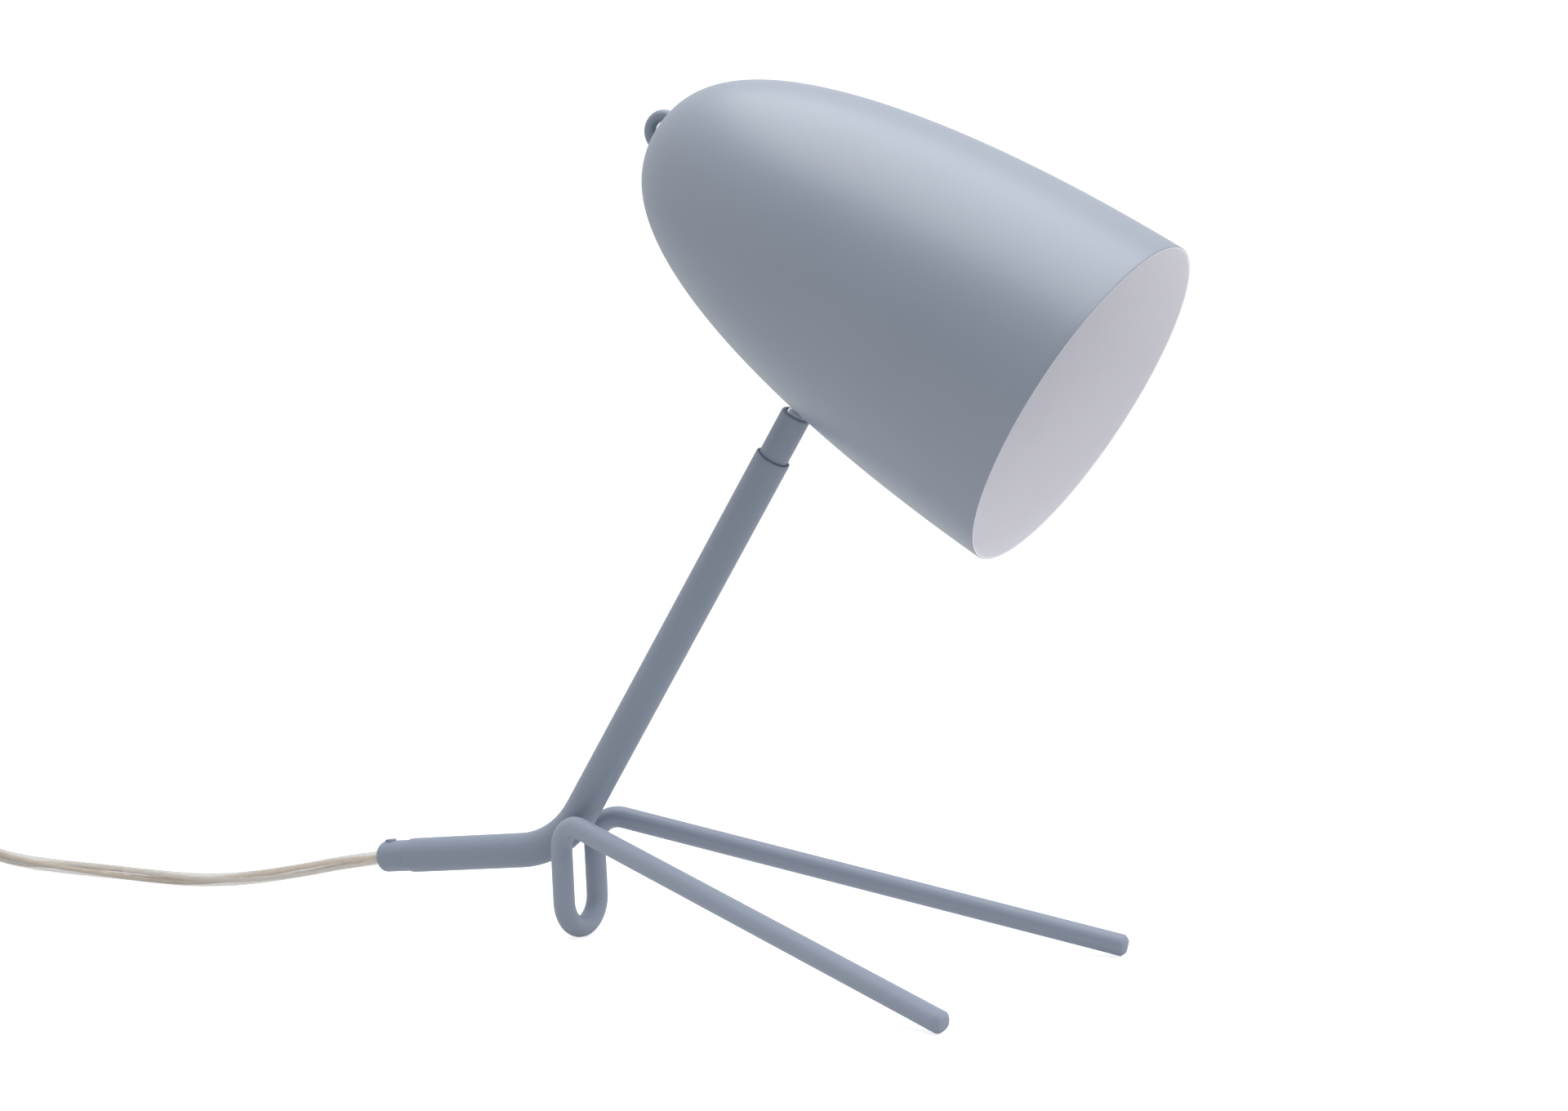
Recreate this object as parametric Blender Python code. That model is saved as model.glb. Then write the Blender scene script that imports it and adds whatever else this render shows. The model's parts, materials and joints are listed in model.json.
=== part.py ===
"""Tripod rod-base desk lamp with a bullet shade on a ball joint.

Frame: metres, +Z up, the floor at z = 0. The lamp is symmetric about the plane y = 0 apart from its
shade, which is turned a few degrees on the ball. The shade's mouth and the two front feet point
towards +X, the cord leaves towards -X. The origin is the middle of the footprint on the floor.
"""
import math

import bmesh
import bpy
from mathutils import Matrix, Vector

MM = 0.001
GAP = 0.3 * MM                       # clearance kept between pieces that touch

# Stem: one bent tube whose short rear leg is the cord outlet.
TUBE_R = 6.5 * MM
TUBE_WALL = 0.7 * MM
STEM_ANGLE = math.radians(58.3)      # above the horizontal, leaning forwards
PIPE_ANGLE = math.radians(7.5)       # the rear leg falls this much towards its end
CORNER = Vector((-78.6, 0.0, 31.9)) * MM   # where the two centre lines cross
BEND_R = 38.0 * MM
STEM_LEN = 174.8 * MM                # corner to upper rim
PIPE_LEN = 70.0 * MM                 # corner to rear end

# Leg frame: one bent round rod, two feet in front and a U at the back.
ROD_R = 4.0 * MM
FOOT = Vector((119.9, 70.2, 3.54)) * MM    # centre of a front foot's end
LEG_TOP = Vector((-71.5, 10.9, 45.4)) * MM  # leg's centre line beside the stem
LOOP_X = -70.1 * MM
LOOP_LEAN = math.radians(3.1)        # the U's round end stands forward of its top
LOOP_R = 10.9 * MM                   # centre line of the U's round end
FLAT_DEPTH = 0.4 * MM                # ground off the U's underside
ROD_BEND_R = 9.3 * MM
FOOT_CHAMFER = 1.5 * MM

# Cord outlet.
GLAND_R = 5.95 * MM                  # ferrule outside the pipe
GLAND_OUT = 14.0 * MM                # length standing out of the pipe
GLAND_NOSE = 2.8 * MM                # rounding of its end
GLAND_IN = 9.0 * MM
SPIGOT_R = TUBE_R - TUBE_WALL - GAP  # ferrule inside the pipe
CORD_R = 2.65 * MM
SCREW_R = 2.2 * MM
SCREW_RISE = 0.6 * MM                # screw head above the ferrule
SCREW_AT = 9.3 * MM                  # from the pipe's end to the screw

# Neck and ball joint.
BALL_DIST = 190.9 * MM               # corner to ball centre along the stem
BALL_R = 4.25 * MM
NECK_R = 5.5 * MM
NECK_IN = 18.0 * MM                  # length of neck inside the stem
SOCKET_R = BALL_R + GAP
NECK_WALL = 0.75 * MM
LIP_RISE = 2.2 * MM                  # lip above the ball's centre
LIP_ROUND = 1.0 * MM
SEAT_BORE = 1.6 * MM                 # wire's way through the nylon seat
SEAT_LOW = -7.2 * MM                 # heights from the ball's centre
SEAT_HIGH = -2.2 * MM
SPRING_R = 3.4 * MM
SPRING_WIRE_R = 0.45 * MM
SPRING_PITCH = 2.1 * MM
SPRING_TURNS = 3.5
SHANK_R = 2.1 * MM
WIRE_R = 1.0 * MM                    # bore of the ball stud
INNER_CABLE_R = 1.3 * MM
COLLAR_R = 3.4 * MM                  # stud's collar outside the wall
GASKET_R = 3.9 * MM
GASKET_T = 0.6 * MM
WASHER_R = 4.6 * MM
WASHER_T = 0.8 * MM
NUT_HALF = 4.0 * MM                  # half of the nut's width across flats
NUT_H = 2.4 * MM
STUD_INSIDE = 6.2 * MM               # stud's length inside the shade

# Shade: a bullet of revolution, r = SHADE_R * (1 - (1 - s / SHADE_FULL) ** SHADE_P) ** (1 / SHADE_Q).
SHADE_R = 62.44 * MM
SHADE_FULL = 197.8 * MM
SHADE_P = 2.08
SHADE_Q = 2.52
SHADE_LEN = 181.9 * MM
SHADE_WALL = 0.8 * MM
STUD_S = 93.8 * MM                   # ball stud's hole, measured along the axis from the tip
BALL_DROP = 6.7 * MM                 # outside of the wall to the ball's centre
SHADE_PITCH = math.radians(-31.1)    # shade axis below the horizontal
SHADE_TURN = math.radians(6.0)       # turned about the neck

# Finger loop on the tip: a half round bent rod, held by two screws from inside.
RING_R = 5.65 * MM                   # centre line of the half round
RING_BAR = 2.1 * MM
RING_RISE = 0.7 * MM                 # straight part between the half round and the shade
TIP_SCREW_R = 1.1 * MM
TIP_SCREW_IN = 3.6 * MM              # screw's length in the loop's leg
TIP_HEAD_H = 1.4 * MM
TIP_HEAD_LIFT = 0.55 * MM             # clears the curved wall

# Lampholder (small Edison screw) and bulb.
HOLDER_S = 54.0 * MM                 # back face of the holder's cap
HOLDER_R = 13.0 * MM
HOLDER_LEN = 46.0 * MM
BULB_R = 22.5 * MM
BULB_TIP_S = 157.0 * MM
GLASS_WALL = 0.9 * MM
BRACKET_W = 14.0 * MM
BRACKET_T = 1.2 * MM
BRACKET_LIFT = 1.1 * MM              # strap above the curved wall at its middle
BRACKET_BEND_R = 3.0 * MM
NIPPLE_R = 4.2 * MM
NIPPLE_BORE = 2.2 * MM
NIPPLE_LEN = 7.5 * MM
HOLDER_NUT_HALF = 6.5 * MM
CAP_LEN = 14.0 * MM                  # holder's rear cap
SOCKET_SHELL_R = 7.6 * MM            # threaded shell inside the holder
SOCKET_FLOOR = 5.0 * MM              # holder body's floor
BULB_CAP_R = 6.8 * MM
BULB_CAP_LEN = 23.5 * MM

# Cord: route from the outlet to the switch, and from the switch to the coil, in millimetres.
CORD_Z = 2.75                        # centre of the cord where it lies on the floor
SPLIT_Z = 7.65                       # centre of the cord where the switch holds it
CORD_ROUTE = ((-165.5, 0.0, 19.9), (-182.0, 0.0, 16.5), (-200.0, 0.0, 12.1), (-219.0, -0.3, 7.9),
              (-238.0, -0.9, 4.7), (-256.0, -1.9, 3.1), (-275.0, -3.0, CORD_Z), (-300.0, -4.5, CORD_Z),
              (-325.0, -5.9, CORD_Z), (-345.0, -7.0, 3.4), (-362.0, -7.9, 5.8), (-378.0, -8.6, SPLIT_Z))
SWITCH_TURN = math.radians(2.5)      # the switch's long axis, from -X towards -Y
SWITCH_LEN = 56.0 * MM
SWITCH_W = 22.0 * MM
SWITCH_LOW = 7.5 * MM                # height of the lower half
SWITCH_HIGH = 7.2 * MM
SWITCH_END_HALF = 5.5 * MM           # half width at the cord ends
SWITCH_TAPER = 13.0 * MM             # length of each narrowing end
SWITCH_ROUND = 1.4 * MM
ROCKER_HALF = 7.6 * MM               # half length and half width of the rocker
ROCKER_WIDE = 4.3 * MM
ROCKER_WELL = (16.6 * MM, 9.6 * MM, 12.0 * MM)
PIVOT_DROP = 1.6 * MM                # rocker's pivot below the housing's top
HOUSING_SCREW_R = 1.7 * MM
HOUSING_SCREW_X = 17.0 * MM
ROCKER_LEAN = math.radians(8.0)      # the rocker rests tipped to one side
COIL_ROUTE = ((-446.0, -11.6, 7.0), (-458.0, -15.6, 5.0), (-467.5, -25.0, 3.9), (-472.6, -37.0, 3.75))
COIL_CENTRE = Vector((-443.5, -75.0, 0.0)) * MM
COIL_MID_R = 30.5 * MM
COIL_PITCH = 5.45 * MM               # between neighbouring turns, three abreast
COIL_HALF = 8.4 * MM
COIL_LOW = 1.1 * MM                  # the coil lies on its tie
COIL_H = 16.2 * MM
TIE_T = 0.8 * MM
TIE_W = 9.0 * MM
TIE_SLACK = 0.6 * MM                 # on the coil's inner side, where the coil curves away from the strap
TIE_ANGLE = math.radians(20.0)       # where the tie is, seen from the coil's centre
TAIL_END = Vector((-381.0, -108.5, 7.0)) * MM
PLUG_TURN = math.radians(-6.0)       # the plug's direction, from +X towards -Y
RELIEF_LEN = 26.0 * MM
PLUG_LEN = 33.0 * MM
PLUG_W = 26.0 * MM
PLUG_T = 14.0 * MM
PIN_R = 2.0 * MM
PIN_LEN = 19.0 * MM
PIN_PITCH = 19.0 * MM


def clear_scene():
    for item in list(bpy.data.objects):
        bpy.data.objects.remove(item, do_unlink=True)


def paint(name, colour, roughness, metallic=0.0):
    """One Principled material."""
    item = bpy.data.materials.new(name)
    item.use_nodes = True
    shader = item.node_tree.nodes["Principled BSDF"]
    shader.inputs["Base Color"].default_value = (*colour, 1.0)
    shader.inputs["Roughness"].default_value = roughness
    shader.inputs["Metallic"].default_value = metallic
    item.diffuse_color = (*colour, 1.0)
    return item


GREY_BLUE = (0.36, 0.42, 0.52)
WHITE = (0.80, 0.80, 0.81)


def empty(name, matrix, parent=None):
    """A bare reference frame, given by its world matrix."""
    item = bpy.data.objects.new(name, None)
    bpy.context.collection.objects.link(item)
    item.parent = parent
    item.matrix_world = matrix
    bpy.context.view_layer.update()
    return item


def place(name, data, finish, parent=None, matrix=None):
    """Link a mesh or curve as a named object; matrix is relative to its parent."""
    item = bpy.data.objects.new(name, data)
    bpy.context.collection.objects.link(item)
    if not data.materials:
        data.materials.append(finish)
    item.parent = parent
    if matrix is not None:
        item.matrix_basis = matrix
    return item


def mesh_from(name, bm, sharp=35.0):
    """Finish a bmesh: outward faces, smooth shading with sharp corners kept."""
    bmesh.ops.recalc_face_normals(bm, faces=bm.faces)
    data = bpy.data.meshes.new(name)
    bm.to_mesh(data)
    bm.free()
    data.shade_smooth()
    data.set_sharp_from_angle(angle=math.radians(sharp))
    return data


def arc(centre_r, centre_z, radius, start, end, steps):
    """Points (r, z) on an arc, angles in degrees from +r towards +z, both ends included."""
    points = []
    for i in range(steps + 1):
        angle = math.radians(start + (end - start) * i / steps)
        points.append((centre_r + radius * math.cos(angle), centre_z + radius * math.sin(angle)))
    return points


def turned(name, outline, sides):
    """Solid of revolution about Z. An outline that starts and ends on the axis is a solid body,
    any other outline is closed on itself as a ring."""
    bm = bmesh.new()
    solid = outline[0][0] < 1e-9
    rings = []
    for radius, height in outline:
        if radius < 1e-9:
            rings.append([bm.verts.new((0.0, 0.0, height))])
            continue
        ring = []
        for k in range(sides):
            angle = 2.0 * math.pi * k / sides
            ring.append(bm.verts.new((radius * math.cos(angle), radius * math.sin(angle), height)))
        rings.append(ring)
    count = len(rings) - 1 if solid else len(rings)
    for i in range(count):
        join_rings(bm, rings[i], rings[(i + 1) % len(rings)])
    return mesh_from(name, bm)


def join_rings(bm, low, high):
    """Skin between two rings of vertices; a ring of one vertex is a pole."""
    sides = max(len(low), len(high))
    for k in range(sides):
        n = (k + 1) % sides
        if len(low) == 1:
            bm.faces.new((low[0], high[k], high[n]))
        elif len(high) == 1:
            bm.faces.new((low[k], low[n], high[0]))
        else:
            bm.faces.new((low[k], low[n], high[n], high[k]))


def frames_along(path):
    """A position and two cross directions at each point of a path, carried without twist."""
    result = []
    side = None
    for i, point in enumerate(path):
        before = path[max(i - 1, 0)]
        after = path[min(i + 1, len(path) - 1)]
        ahead = (after - before).normalized()
        if side is None:
            side = Vector((0.0, 1.0, 0.0)) if abs(ahead.y) < 0.9 else Vector((1.0, 0.0, 0.0))
        side = (side - ahead * side.dot(ahead)).normalized()
        result.append((point, side.copy(), ahead.cross(side)))
    return result


def swept(name, path, radii, sides, bores=None):
    """Round bar along a path with one radius per point; bores makes it a tube."""
    bm = bmesh.new()

    def ring(frame, radius):
        point, side, up = frame
        loop = []
        for k in range(sides):
            angle = 2.0 * math.pi * k / sides
            loop.append(bm.verts.new(point + side * radius * math.cos(angle) + up * radius * math.sin(angle)))
        return loop

    frames = frames_along(path)
    outer = [ring(f, r) for f, r in zip(frames, radii)]
    for low, high in zip(outer, outer[1:]):
        join_rings(bm, low, high)
    if bores is None:
        for end, point in ((outer[0], path[0]), (outer[-1], path[-1])):
            join_rings(bm, end, [bm.verts.new(point)])
    else:
        inner = [ring(f, r) for f, r in zip(frames, bores)]
        for low, high in zip(inner, inner[1:]):
            join_rings(bm, low, high)
        join_rings(bm, outer[0], inner[0])
        join_rings(bm, outer[-1], inner[-1])
    return mesh_from(name, bm)


def rounded_corner(before, corner, after, radius, steps):
    """Points of an arc that rounds the corner between two straight runs."""
    back = (before - corner).normalized()
    on = (after - corner).normalized()
    half = back.angle(on) / 2.0
    reach = radius / math.tan(half)
    centre = corner + (back + on).normalized() * (radius / math.sin(half))
    start = corner + back * reach - centre
    axis = start.cross(corner + on * reach - centre).normalized()
    turn = math.pi - 2.0 * half
    return [centre + Matrix.Rotation(turn * i / steps, 3, axis) @ start for i in range(steps + 1)]


def smooth_curve(points, spacing):
    """Evenly spaced points on a smooth curve (Catmull-Rom) through the given ones."""
    dense = []
    padded = [points[0] * 2.0 - points[1]] + list(points) + [points[-1] * 2.0 - points[-2]]
    for a, b, c, d in zip(padded, padded[1:], padded[2:], padded[3:]):
        for i in range(16):
            t = i / 16.0
            dense.append(0.5 * (2.0 * b + (c - a) * t + (2.0 * a - 5.0 * b + 4.0 * c - d) * t * t
                                + (3.0 * b - a - 3.0 * c + d) * t ** 3))
    dense.append(points[-1])
    length = sum((b - a).length for a, b in zip(dense, dense[1:]))
    count = max(2, round(length / spacing))
    result = [dense[0]]
    walked = 0.0
    for a, b in zip(dense, dense[1:]):
        step = (b - a).length
        while len(result) < count and walked + step >= length * len(result) / count:
            result.append(a.lerp(b, (length * len(result) / count - walked) / step))
        walked += step
    result.append(dense[-1])
    return result


def tube_curve(name, route, radius, finish, parent=None):
    """Round cable with flat ends along the given points."""
    curve = bpy.data.curves.new(name, "CURVE")
    curve.dimensions = "3D"
    curve.bevel_depth = radius
    curve.bevel_resolution = 2
    curve.use_fill_caps = True
    line = curve.splines.new("POLY")
    line.points.add(len(route) - 1)
    for target, point in zip(line.points, route):
        target.co = (*point, 1.0)
    return place(name, curve, finish, parent)


def cable(name, points, radius, finish, parent=None, spacing=5.0):
    """Round cable along a smooth route; spacing is in radii."""
    return tube_curve(name, smooth_curve(points, radius * spacing), radius, finish, parent)


def cut(target, name, data, matrix=None, parent=None):
    """Subtract a hidden cutter from an object."""
    tool = bpy.data.objects.new(name, data)
    bpy.context.collection.objects.link(tool)
    tool.parent = parent
    if matrix is not None:
        tool.matrix_basis = matrix
    tool.hide_render = True
    tool.display_type = "WIRE"
    step = target.modifiers.new(name, "BOOLEAN")
    step.operation = "DIFFERENCE"
    step.object = tool
    return tool


def rod_mesh(name, radius, low, high, sides=24):
    """Plain round bar along Z."""
    return turned(name, [(0.0, low), (radius, low), (radius, high), (0.0, high)], sides)


def ring_mesh(name, bore, radius, low, height):
    """Flat washer about Z."""
    return turned(name, [(bore, low), (radius, low), (radius, low + height), (bore, low + height)], 20)


def block_mesh(name, size, centre=(0.0, 0.0, 0.0), bevel=0.0, segments=2):
    """Box with rounded edges."""
    bm = bmesh.new()
    bmesh.ops.create_cube(bm, size=1.0)
    bmesh.ops.scale(bm, vec=size, verts=bm.verts)
    bmesh.ops.translate(bm, vec=centre, verts=bm.verts)
    if bevel > 0.0:
        bmesh.ops.bevel(bm, geom=bm.edges, offset=bevel, segments=segments, profile=0.5, affect="EDGES")
    return mesh_from(name, bm)


def nut_mesh(name, bore, flat, height, low):
    """Hexagon nut about Z; flat is half the width across flats."""
    bm = bmesh.new()
    sides = 24

    def ring(radius, z, hexagon):
        loop = []
        for k in range(sides):
            angle = 2.0 * math.pi * k / sides
            grown = radius
            if hexagon:
                grown = radius / math.cos((angle % (math.pi / 3.0)) - math.pi / 6.0)
            loop.append(bm.verts.new((grown * math.cos(angle), grown * math.sin(angle), z)))
        return loop

    edge = height * 0.15
    rings = [ring(bore, low, False), ring(flat * 0.98, low, False), ring(flat, low + edge, True),
             ring(flat, low + height - edge, True), ring(flat * 0.98, low + height, False),
             ring(bore, low + height, False)]
    for i in range(len(rings)):
        join_rings(bm, rings[i], rings[(i + 1) % len(rings)])
    return mesh_from(name, bm)


def basis(x_axis, z_axis, origin):
    """World matrix from an X and a Z direction."""
    x = x_axis.normalized()
    z = z_axis.normalized()
    y = z.cross(x)
    rotation = Matrix((x, y, z)).transposed()
    return Matrix.Translation(origin) @ rotation.to_4x4()


STEM_DIR = Vector((math.cos(STEM_ANGLE), 0.0, math.sin(STEM_ANGLE)))
PIPE_DIR = Vector((-math.cos(PIPE_ANGLE), 0.0, -math.sin(PIPE_ANGLE)))
ALONG = Vector((0.0, 1.0, 0.0)).cross(STEM_DIR)      # across the stem, towards the front
BALL = CORNER + STEM_DIR * BALL_DIST
PIPE_END = CORNER + PIPE_DIR * PIPE_LEN
GLAND_END = CORNER + PIPE_DIR * (PIPE_LEN + GLAND_OUT)


def shade_radius(s):
    return SHADE_R * (1.0 - (1.0 - s / SHADE_FULL) ** SHADE_P) ** (1.0 / SHADE_Q)


def shade_slope(s):
    step = 0.1 * MM
    return math.atan((shade_radius(s + step) - shade_radius(s - step)) / (2.0 * step))


STUD_TILT = shade_slope(STUD_S)
BALL_S = STUD_S - BALL_DROP * math.sin(STUD_TILT)     # ball centre, along the shade's axis
AXIS_RISE = shade_radius(STUD_S) + BALL_DROP * math.cos(STUD_TILT)


def stem_tube(finish):
    """Bent tube: rear pipe, bend, stem with a rolled upper rim."""
    top = CORNER + STEM_DIR * STEM_LEN
    bend = rounded_corner(PIPE_END, CORNER, top, BEND_R, 9)
    path = [PIPE_END, PIPE_END - PIPE_DIR * 1.2 * MM] + bend
    path += [top - STEM_DIR * 1.0 * MM, top - STEM_DIR * 0.4 * MM, top]
    bore = TUBE_R - TUBE_WALL
    radii = [TUBE_R - 0.6 * MM] + [TUBE_R] * (len(path) - 3) + [TUBE_R - 0.25 * MM, TUBE_R - 0.6 * MM]
    place("stem_tube", swept("stem_tube", path, radii, 24, [bore] * len(path)), finish)


def leg_path():
    """Centre line of the bent rod, from the near foot round the U to the far foot."""
    flip = Vector((1.0, -1.0, 1.0))
    foot = FOOT * flip
    slope = (LEG_TOP * flip - foot).normalized()
    down = Vector((math.sin(LOOP_LEAN), 0.0, -math.cos(LOOP_LEAN)))
    across = Vector((math.cos(LOOP_LEAN), 0.0, math.sin(LOOP_LEAN)))
    centre = Vector((LOOP_X, 0.0, ROD_R + LOOP_R - FLAT_DEPTH))
    corner = foot + slope * ((centre - foot).dot(across) / slope.dot(across))
    u_top = centre - Vector((0.0, LOOP_R, 0.0))
    near = [foot, foot + slope * FOOT_CHAMFER]
    near += rounded_corner(foot, corner, u_top, ROD_BEND_R, 8)
    bottom = []
    steps = 12
    for i in range(steps + 1):
        angle = math.pi * i / steps
        bottom.append(centre + down * LOOP_R * math.sin(angle) - Vector((0.0, LOOP_R * math.cos(angle), 0.0)))
    far = [point * flip for point in reversed(near)]
    return near + bottom + far


def leg_frame(finish):
    """Bent rod with chamfered feet, ground flat where it stands on the floor."""
    path = leg_path()
    radii = [ROD_R - FOOT_CHAMFER] + [ROD_R] * (len(path) - 2) + [ROD_R - FOOT_CHAMFER]
    item = place("leg_frame", swept("leg_frame", path, radii, 16), finish)
    floor = block_mesh("floor_cut", (0.4, 0.3, 0.02), (0.0, 0.0, -0.01))
    cut(item, "floor_cut", floor)


def cord_gland(finish):
    """Ferrule in the pipe's end with a rounded nose, and its slotted clamping screw."""
    frame = empty("gland_frame", basis(Vector((0.0, 1.0, 0.0)), PIPE_DIR, PIPE_END))
    bore = CORD_R + 0.35 * MM
    outline = [(bore, -GLAND_IN), (SPIGOT_R, -GLAND_IN), (SPIGOT_R, GAP), (GLAND_R, GAP)]
    outline += arc(GLAND_R - GLAND_NOSE, GLAND_OUT - GLAND_NOSE, GLAND_NOSE, 0.0, 80.0, 5)
    outline += [(bore, GLAND_OUT)]
    body = place("cord_gland", turned("cord_gland", outline, 24), finish, frame)
    up = Vector((0.0, 0.0, 1.0))
    tilt = basis(PIPE_DIR, up - PIPE_DIR * up.dot(PIPE_DIR), PIPE_END + PIPE_DIR * SCREW_AT)
    screw_frame = empty("gland_screw_frame", tilt)
    low = bore + 0.6 * MM
    top = GLAND_R + SCREW_RISE
    hole = rod_mesh("gland_screw_hole", SCREW_R + GAP, low - GAP, top + 2.0 * MM, 20)
    cut(body, "gland_screw_hole", hole, parent=screw_frame)
    edge = 0.35 * MM
    outline = [(0.0, low), (SCREW_R - edge, low), (SCREW_R, low + edge), (SCREW_R, top - edge),
               (SCREW_R - edge, top), (0.0, top)]
    screw = place("gland_screw", turned("gland_screw", outline, 20), finish, screw_frame)
    slot = block_mesh("gland_screw_slot", (0.7 * MM, 3.0 * SCREW_R, 1.8 * MM), (0.0, 0.0, top))
    cut(screw, "gland_screw_slot", slot, parent=screw_frame)


def neck(finish, nylon, steel, joint):
    """Neck tube whose spun lip holds the ball, the nylon seat under it and the seat's spring."""
    bore = NECK_R - NECK_WALL
    low = STEM_LEN - NECK_IN - BALL_DIST
    edge = LIP_RISE - 0.15 * MM
    lip_r = math.sqrt(SOCKET_R ** 2 - edge ** 2)
    outline = [(bore, low), (NECK_R, low), (NECK_R, LIP_RISE - LIP_ROUND - 0.1 * MM)]
    outline += arc(NECK_R - LIP_ROUND, LIP_RISE - LIP_ROUND, LIP_ROUND, 15.0, 90.0, 4)
    outline += [(lip_r + 0.1 * MM, LIP_RISE)]
    outline += arc(0.0, 0.0, SOCKET_R, math.degrees(math.asin(edge / SOCKET_R)), 0.0, 4)
    place("neck_tube", turned("neck_tube", outline, 24), finish, joint)

    outline = [(SEAT_BORE, SEAT_LOW), (bore - GAP, SEAT_LOW), (bore - GAP, SEAT_HIGH)]
    outline += arc(0.0, 0.0, SOCKET_R, -31.0, -66.0, 4)
    outline += [(SEAT_BORE, -4.6 * MM)]
    place("ball_seat", turned("ball_seat", outline, 20), nylon, joint)

    steps = 14
    coil = []
    for i in range(int(SPRING_TURNS * steps) + 1):
        angle = 2.0 * math.pi * i / steps
        height = SEAT_LOW - GAP - SPRING_WIRE_R * 1.1 - SPRING_PITCH * i / steps
        coil.append(Vector((SPRING_R * math.cos(angle), SPRING_R * math.sin(angle), height)))
    place("seat_spring", swept("seat_spring", coil, [SPRING_WIRE_R] * len(coil), 6), steel, joint)


def stem_cable(finish):
    """The cord's inner run, from the ferrule up to the seat's spring."""
    start = CORNER + PIPE_DIR * (PIPE_LEN - GLAND_IN - 2.0 * GAP)
    end = CORNER + STEM_DIR * (BALL_DIST - 17.5 * MM)
    bend = rounded_corner(start, CORNER, end, BEND_R, 6)
    route = [start, start.lerp(bend[0], 0.5)] + bend + [bend[-1].lerp(end, 0.33), bend[-1].lerp(end, 0.66), end]
    tube_curve("stem_cable", route, INNER_CABLE_R, finish)


def ball_stud(chrome, steel, finish, shade):
    """Hollow ball stud square to the wall, its outer washer, inner washer and nut."""
    matrix = Matrix.Rotation(STUD_TILT, 4, "Y")
    stud = empty("stud_frame", shade.matrix_world @ matrix, shade)
    inside = BALL_DROP + SHADE_WALL
    top = inside + STUD_INSIDE
    gasket_low = BALL_DROP - GASKET_T - 0.4 * MM
    collar_top = gasket_low - GAP
    neck_start = math.degrees(math.acos(SHANK_R / BALL_R))
    outline = [(WIRE_R, -math.sqrt(BALL_R ** 2 - WIRE_R ** 2))]
    outline += arc(0.0, 0.0, BALL_R, -72.0, neck_start, 9)
    outline += [(SHANK_R, collar_top - GAP), (COLLAR_R, collar_top - GAP), (COLLAR_R, collar_top)]
    outline += [(SHANK_R, collar_top), (SHANK_R, top), (WIRE_R, top)]
    place("ball_stud", turned("ball_stud", outline, 24), chrome, stud)
    place("stud_gasket", ring_mesh("stud_gasket", SHANK_R + GAP, GASKET_R, gasket_low, GASKET_T), finish, stud)
    low = inside + BRACKET_LIFT + BRACKET_T + GAP
    place("stud_washer", ring_mesh("stud_washer", SHANK_R + GAP, WASHER_R, low, WASHER_T), steel, stud)
    low += WASHER_T + GAP
    place("stud_nut", nut_mesh("stud_nut", SHANK_R + GAP, NUT_HALF, NUT_H, low), steel, stud)
    return stud


def shade_matrix(s):
    """Frame in the shade's own coordinates with Z along its axis, at a distance s from the tip."""
    return Matrix.Translation((s - BALL_S, 0.0, AXIS_RISE)) @ Matrix.Rotation(math.pi / 2.0, 4, "Y")


def shade_shell(finish, shade, stud):
    """Spun bullet with an open mouth, a hole for the ball stud and two at the tip for the loop's screws."""
    steps = 17
    stations = [SHADE_LEN * (i / steps) ** 2.1 for i in range(1, steps + 1)]
    outer = [(0.0, 0.0)] + [(shade_radius(s), s) for s in stations]
    inner = [(0.0, SHADE_WALL)]
    for s in stations[:-1]:
        tilt = shade_slope(max(s, 0.2 * MM))
        inner.append((shade_radius(s) - SHADE_WALL * math.cos(tilt), s + SHADE_WALL * math.sin(tilt)))
    inner.append((shade_radius(SHADE_LEN) - SHADE_WALL, SHADE_LEN))
    outline = outer + list(reversed(inner))
    body = place("shade_shell", turned("shade_shell", outline, 48), finish, shade, shade_matrix(0.0))
    drill = rod_mesh("stud_hole", SHANK_R + GAP, BALL_DROP - 3.0 * MM, BALL_DROP + 4.0 * MM, 20)
    cut(body, "stud_hole", drill, parent=stud)
    drill = rod_mesh("tip_screw_hole", TIP_SCREW_R + GAP, -3.0 * MM, 4.0 * MM, 12)
    for name, side in (("tip_hole_a", 1.0), ("tip_hole_b", -1.0)):
        cut(body, name, drill, shade_matrix(0.0) @ Matrix.Translation((side * RING_R, 0.0, 0.0)), shade)


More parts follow.
